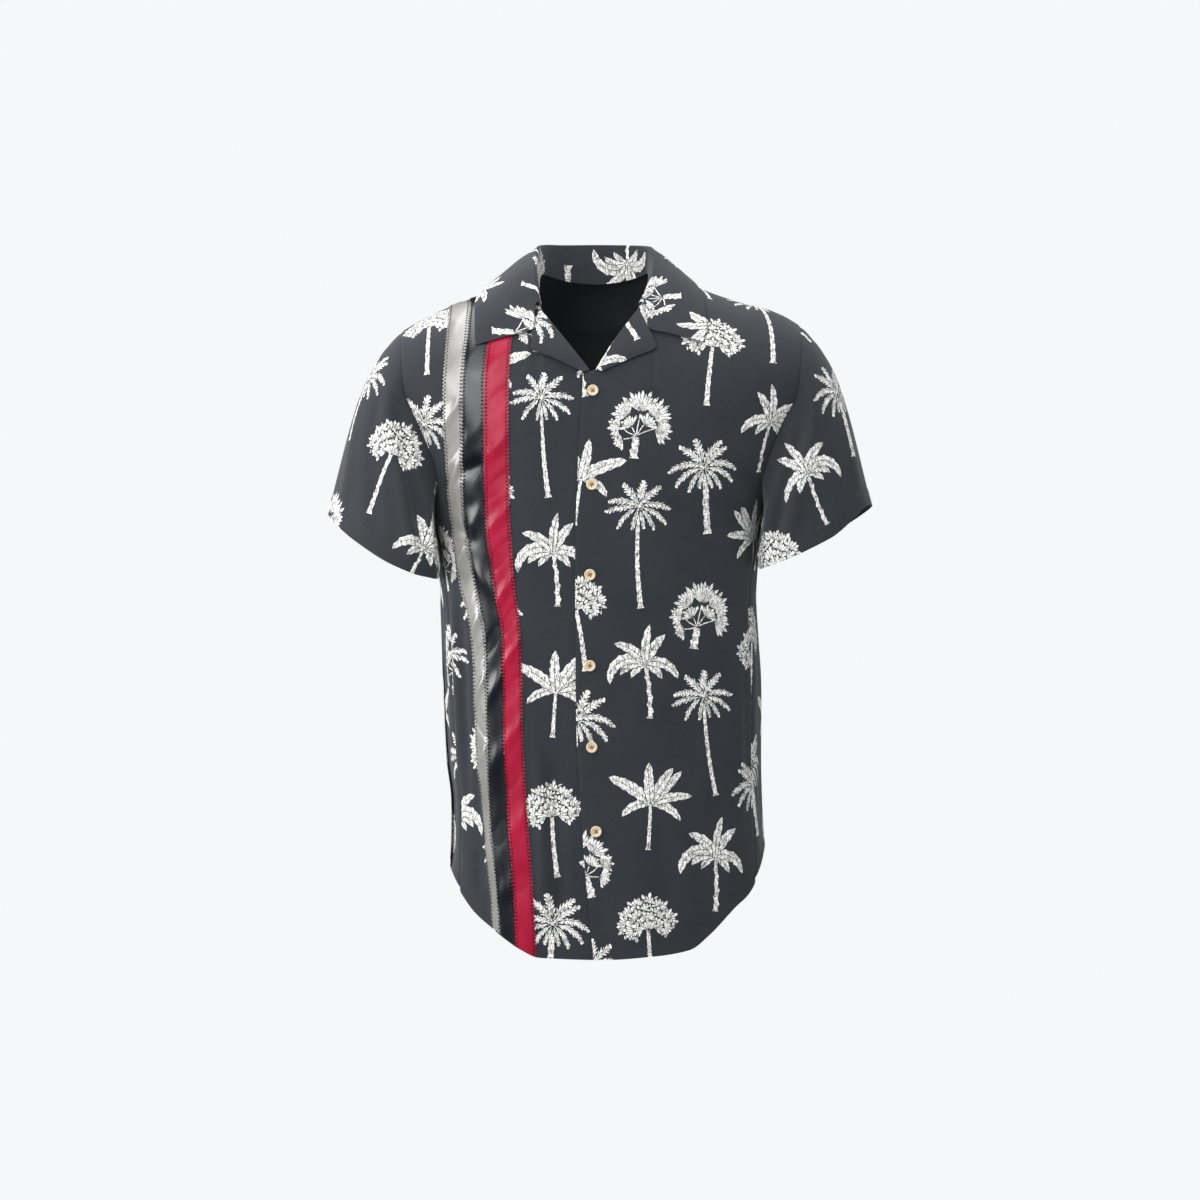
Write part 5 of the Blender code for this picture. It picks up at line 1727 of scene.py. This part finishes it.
def makeFloor():
    count, height = stage["floorSides"], stage["floorHeight"]
    turn = np.linspace(0, 2 * np.pi, count, endpoint=False)
    points, faces = [(0, 0, height)], []
    for radius in stage["floorRings"]:
        points += [(radius * np.cos(a), radius * np.sin(a), height) for a in turn]
    for k in range(count):
        n = (k + 1) % count
        faces.append((0, 1 + k, 1 + n))
        for inner in range(1, 1 + count * (len(stage["floorRings"]) - 1), count):
            faces.append((inner + k, inner + count + k, inner + count + n, inner + n))
    mesh = bpy.data.meshes.new("floor")
    mesh.from_pydata(points, [], faces)
    material, shader = newMaterial("paleFloor", {"roughness": 0.7, "sheen": 0.0, "shine": 0.5})
    shader.inputs["Base Color"].default_value = (*stage["floorColour"], 1)
    place = addNode(material, "ShaderNodeTexCoord")
    length = addNode(material, "ShaderNodeVectorMath", {0: place.outputs["Object"]}, operation="LENGTH")
    limits = {"Value": length.outputs["Value"], "From Min": stage["fadeFrom"], "From Max": stage["fadeTo"]}
    fade = addNode(material, "ShaderNodeMapRange", limits, interpolation_type="SMOOTHSTEP")
    glow = addNode(material, "ShaderNodeEmission", {"Color": (*stage["pale"], 1), "Strength": 1.0})
    mixed = {0: fade.outputs[0], 1: shader.outputs[0], 2: glow.outputs[0]}
    blend = addNode(material, "ShaderNodeMixShader", mixed)
    surface = material.node_tree.nodes["Material Output"].inputs["Surface"]
    material.node_tree.links.new(blend.outputs[0], surface)
    mesh.materials.append(material)
    floor = addObject("floor", mesh)
    floor.visible_glossy = False


def makeWorld():
    # A pale band level with the camera, dim above and below, and left out of the gloss on the satin.
    world = bpy.data.worlds.new("paleRoom")
    bpy.context.scene.world = world
    world.cycles_visibility.glossy = False
    world.use_nodes = True
    place = addNode(world, "ShaderNodeTexCoord")
    split = addNode(world, "ShaderNodeSeparateXYZ", {0: place.outputs["Generated"]})
    height = addNode(world, "ShaderNodeMath", {0: split.outputs["Z"]}, operation="ABSOLUTE")
    limits = {"Value": height.outputs[0], "From Min": stage["dimFrom"], "From Max": stage["dimTo"]}
    fade = addNode(world, "ShaderNodeMapRange", limits, interpolation_type="SMOOTHSTEP")
    colour = mixColour(world, fade.outputs[0], (*stage["pale"], 1), (*stage["dim"], 1))
    background = world.node_tree.nodes["Background"]
    world.node_tree.links.new(colour, background.inputs["Color"])
    background.inputs["Strength"].default_value = 1.0


lights = {  # place, what it points at, width and height, watts
    "key": ((-0.2, -1.6, 1.15), (0, 0, -0.2), (1.6, 0.9), 15),
    "tall": ((-1.27, -2.04, 0.55), (0, 0, -0.25), (1.3, 1.7), 32),
    "strip": ((-2.2, -0.3, 0.0), (0, -0.05, -0.35), (1.9, 0.7), 38),
    "fill": ((1.9, -1.6, 0.2), (0, 0, -0.3), (1.0, 1.4), 6),
    "top": ((0, 0.2, 2.1), (0, 0.1, -1.4), (2.6, 2.6), 96),
}


def pointAt(item, place, direction):
    item.location = place
    item.rotation_mode = "QUATERNION"
    item.rotation_quaternion = Vector(direction).to_track_quat("-Z", "Y")


def addLight(name, place, aim, size, power):
    light = bpy.data.lights.new(name, "AREA")
    light.shape, light.size, light.size_y, light.energy = "RECTANGLE", size[0], size[1], power
    item = addObject(name, light)
    item.visible_camera = False
    pointAt(item, place, Vector(aim) - Vector(place))


def makeCamera():
    lens = bpy.data.cameras.new("camera")
    camera = addObject("camera", lens)
    reach = stage["cameraDistance"]
    pointAt(camera, (0, stage["focusDepth"] - reach, stage["cameraHeight"]), (0, 1, 0))
    lens.sensor_width = 36
    lens.lens = 36 * reach / stage["viewWidth"]
    lens.clip_start, lens.clip_end = 0.1, 60
    bpy.context.scene.camera = camera


makeFloor()
makeWorld()
for name, light in lights.items():
    addLight(name, *light)
makeCamera()
bpy.context.scene.view_settings.view_transform = "Standard"
print("stage set")
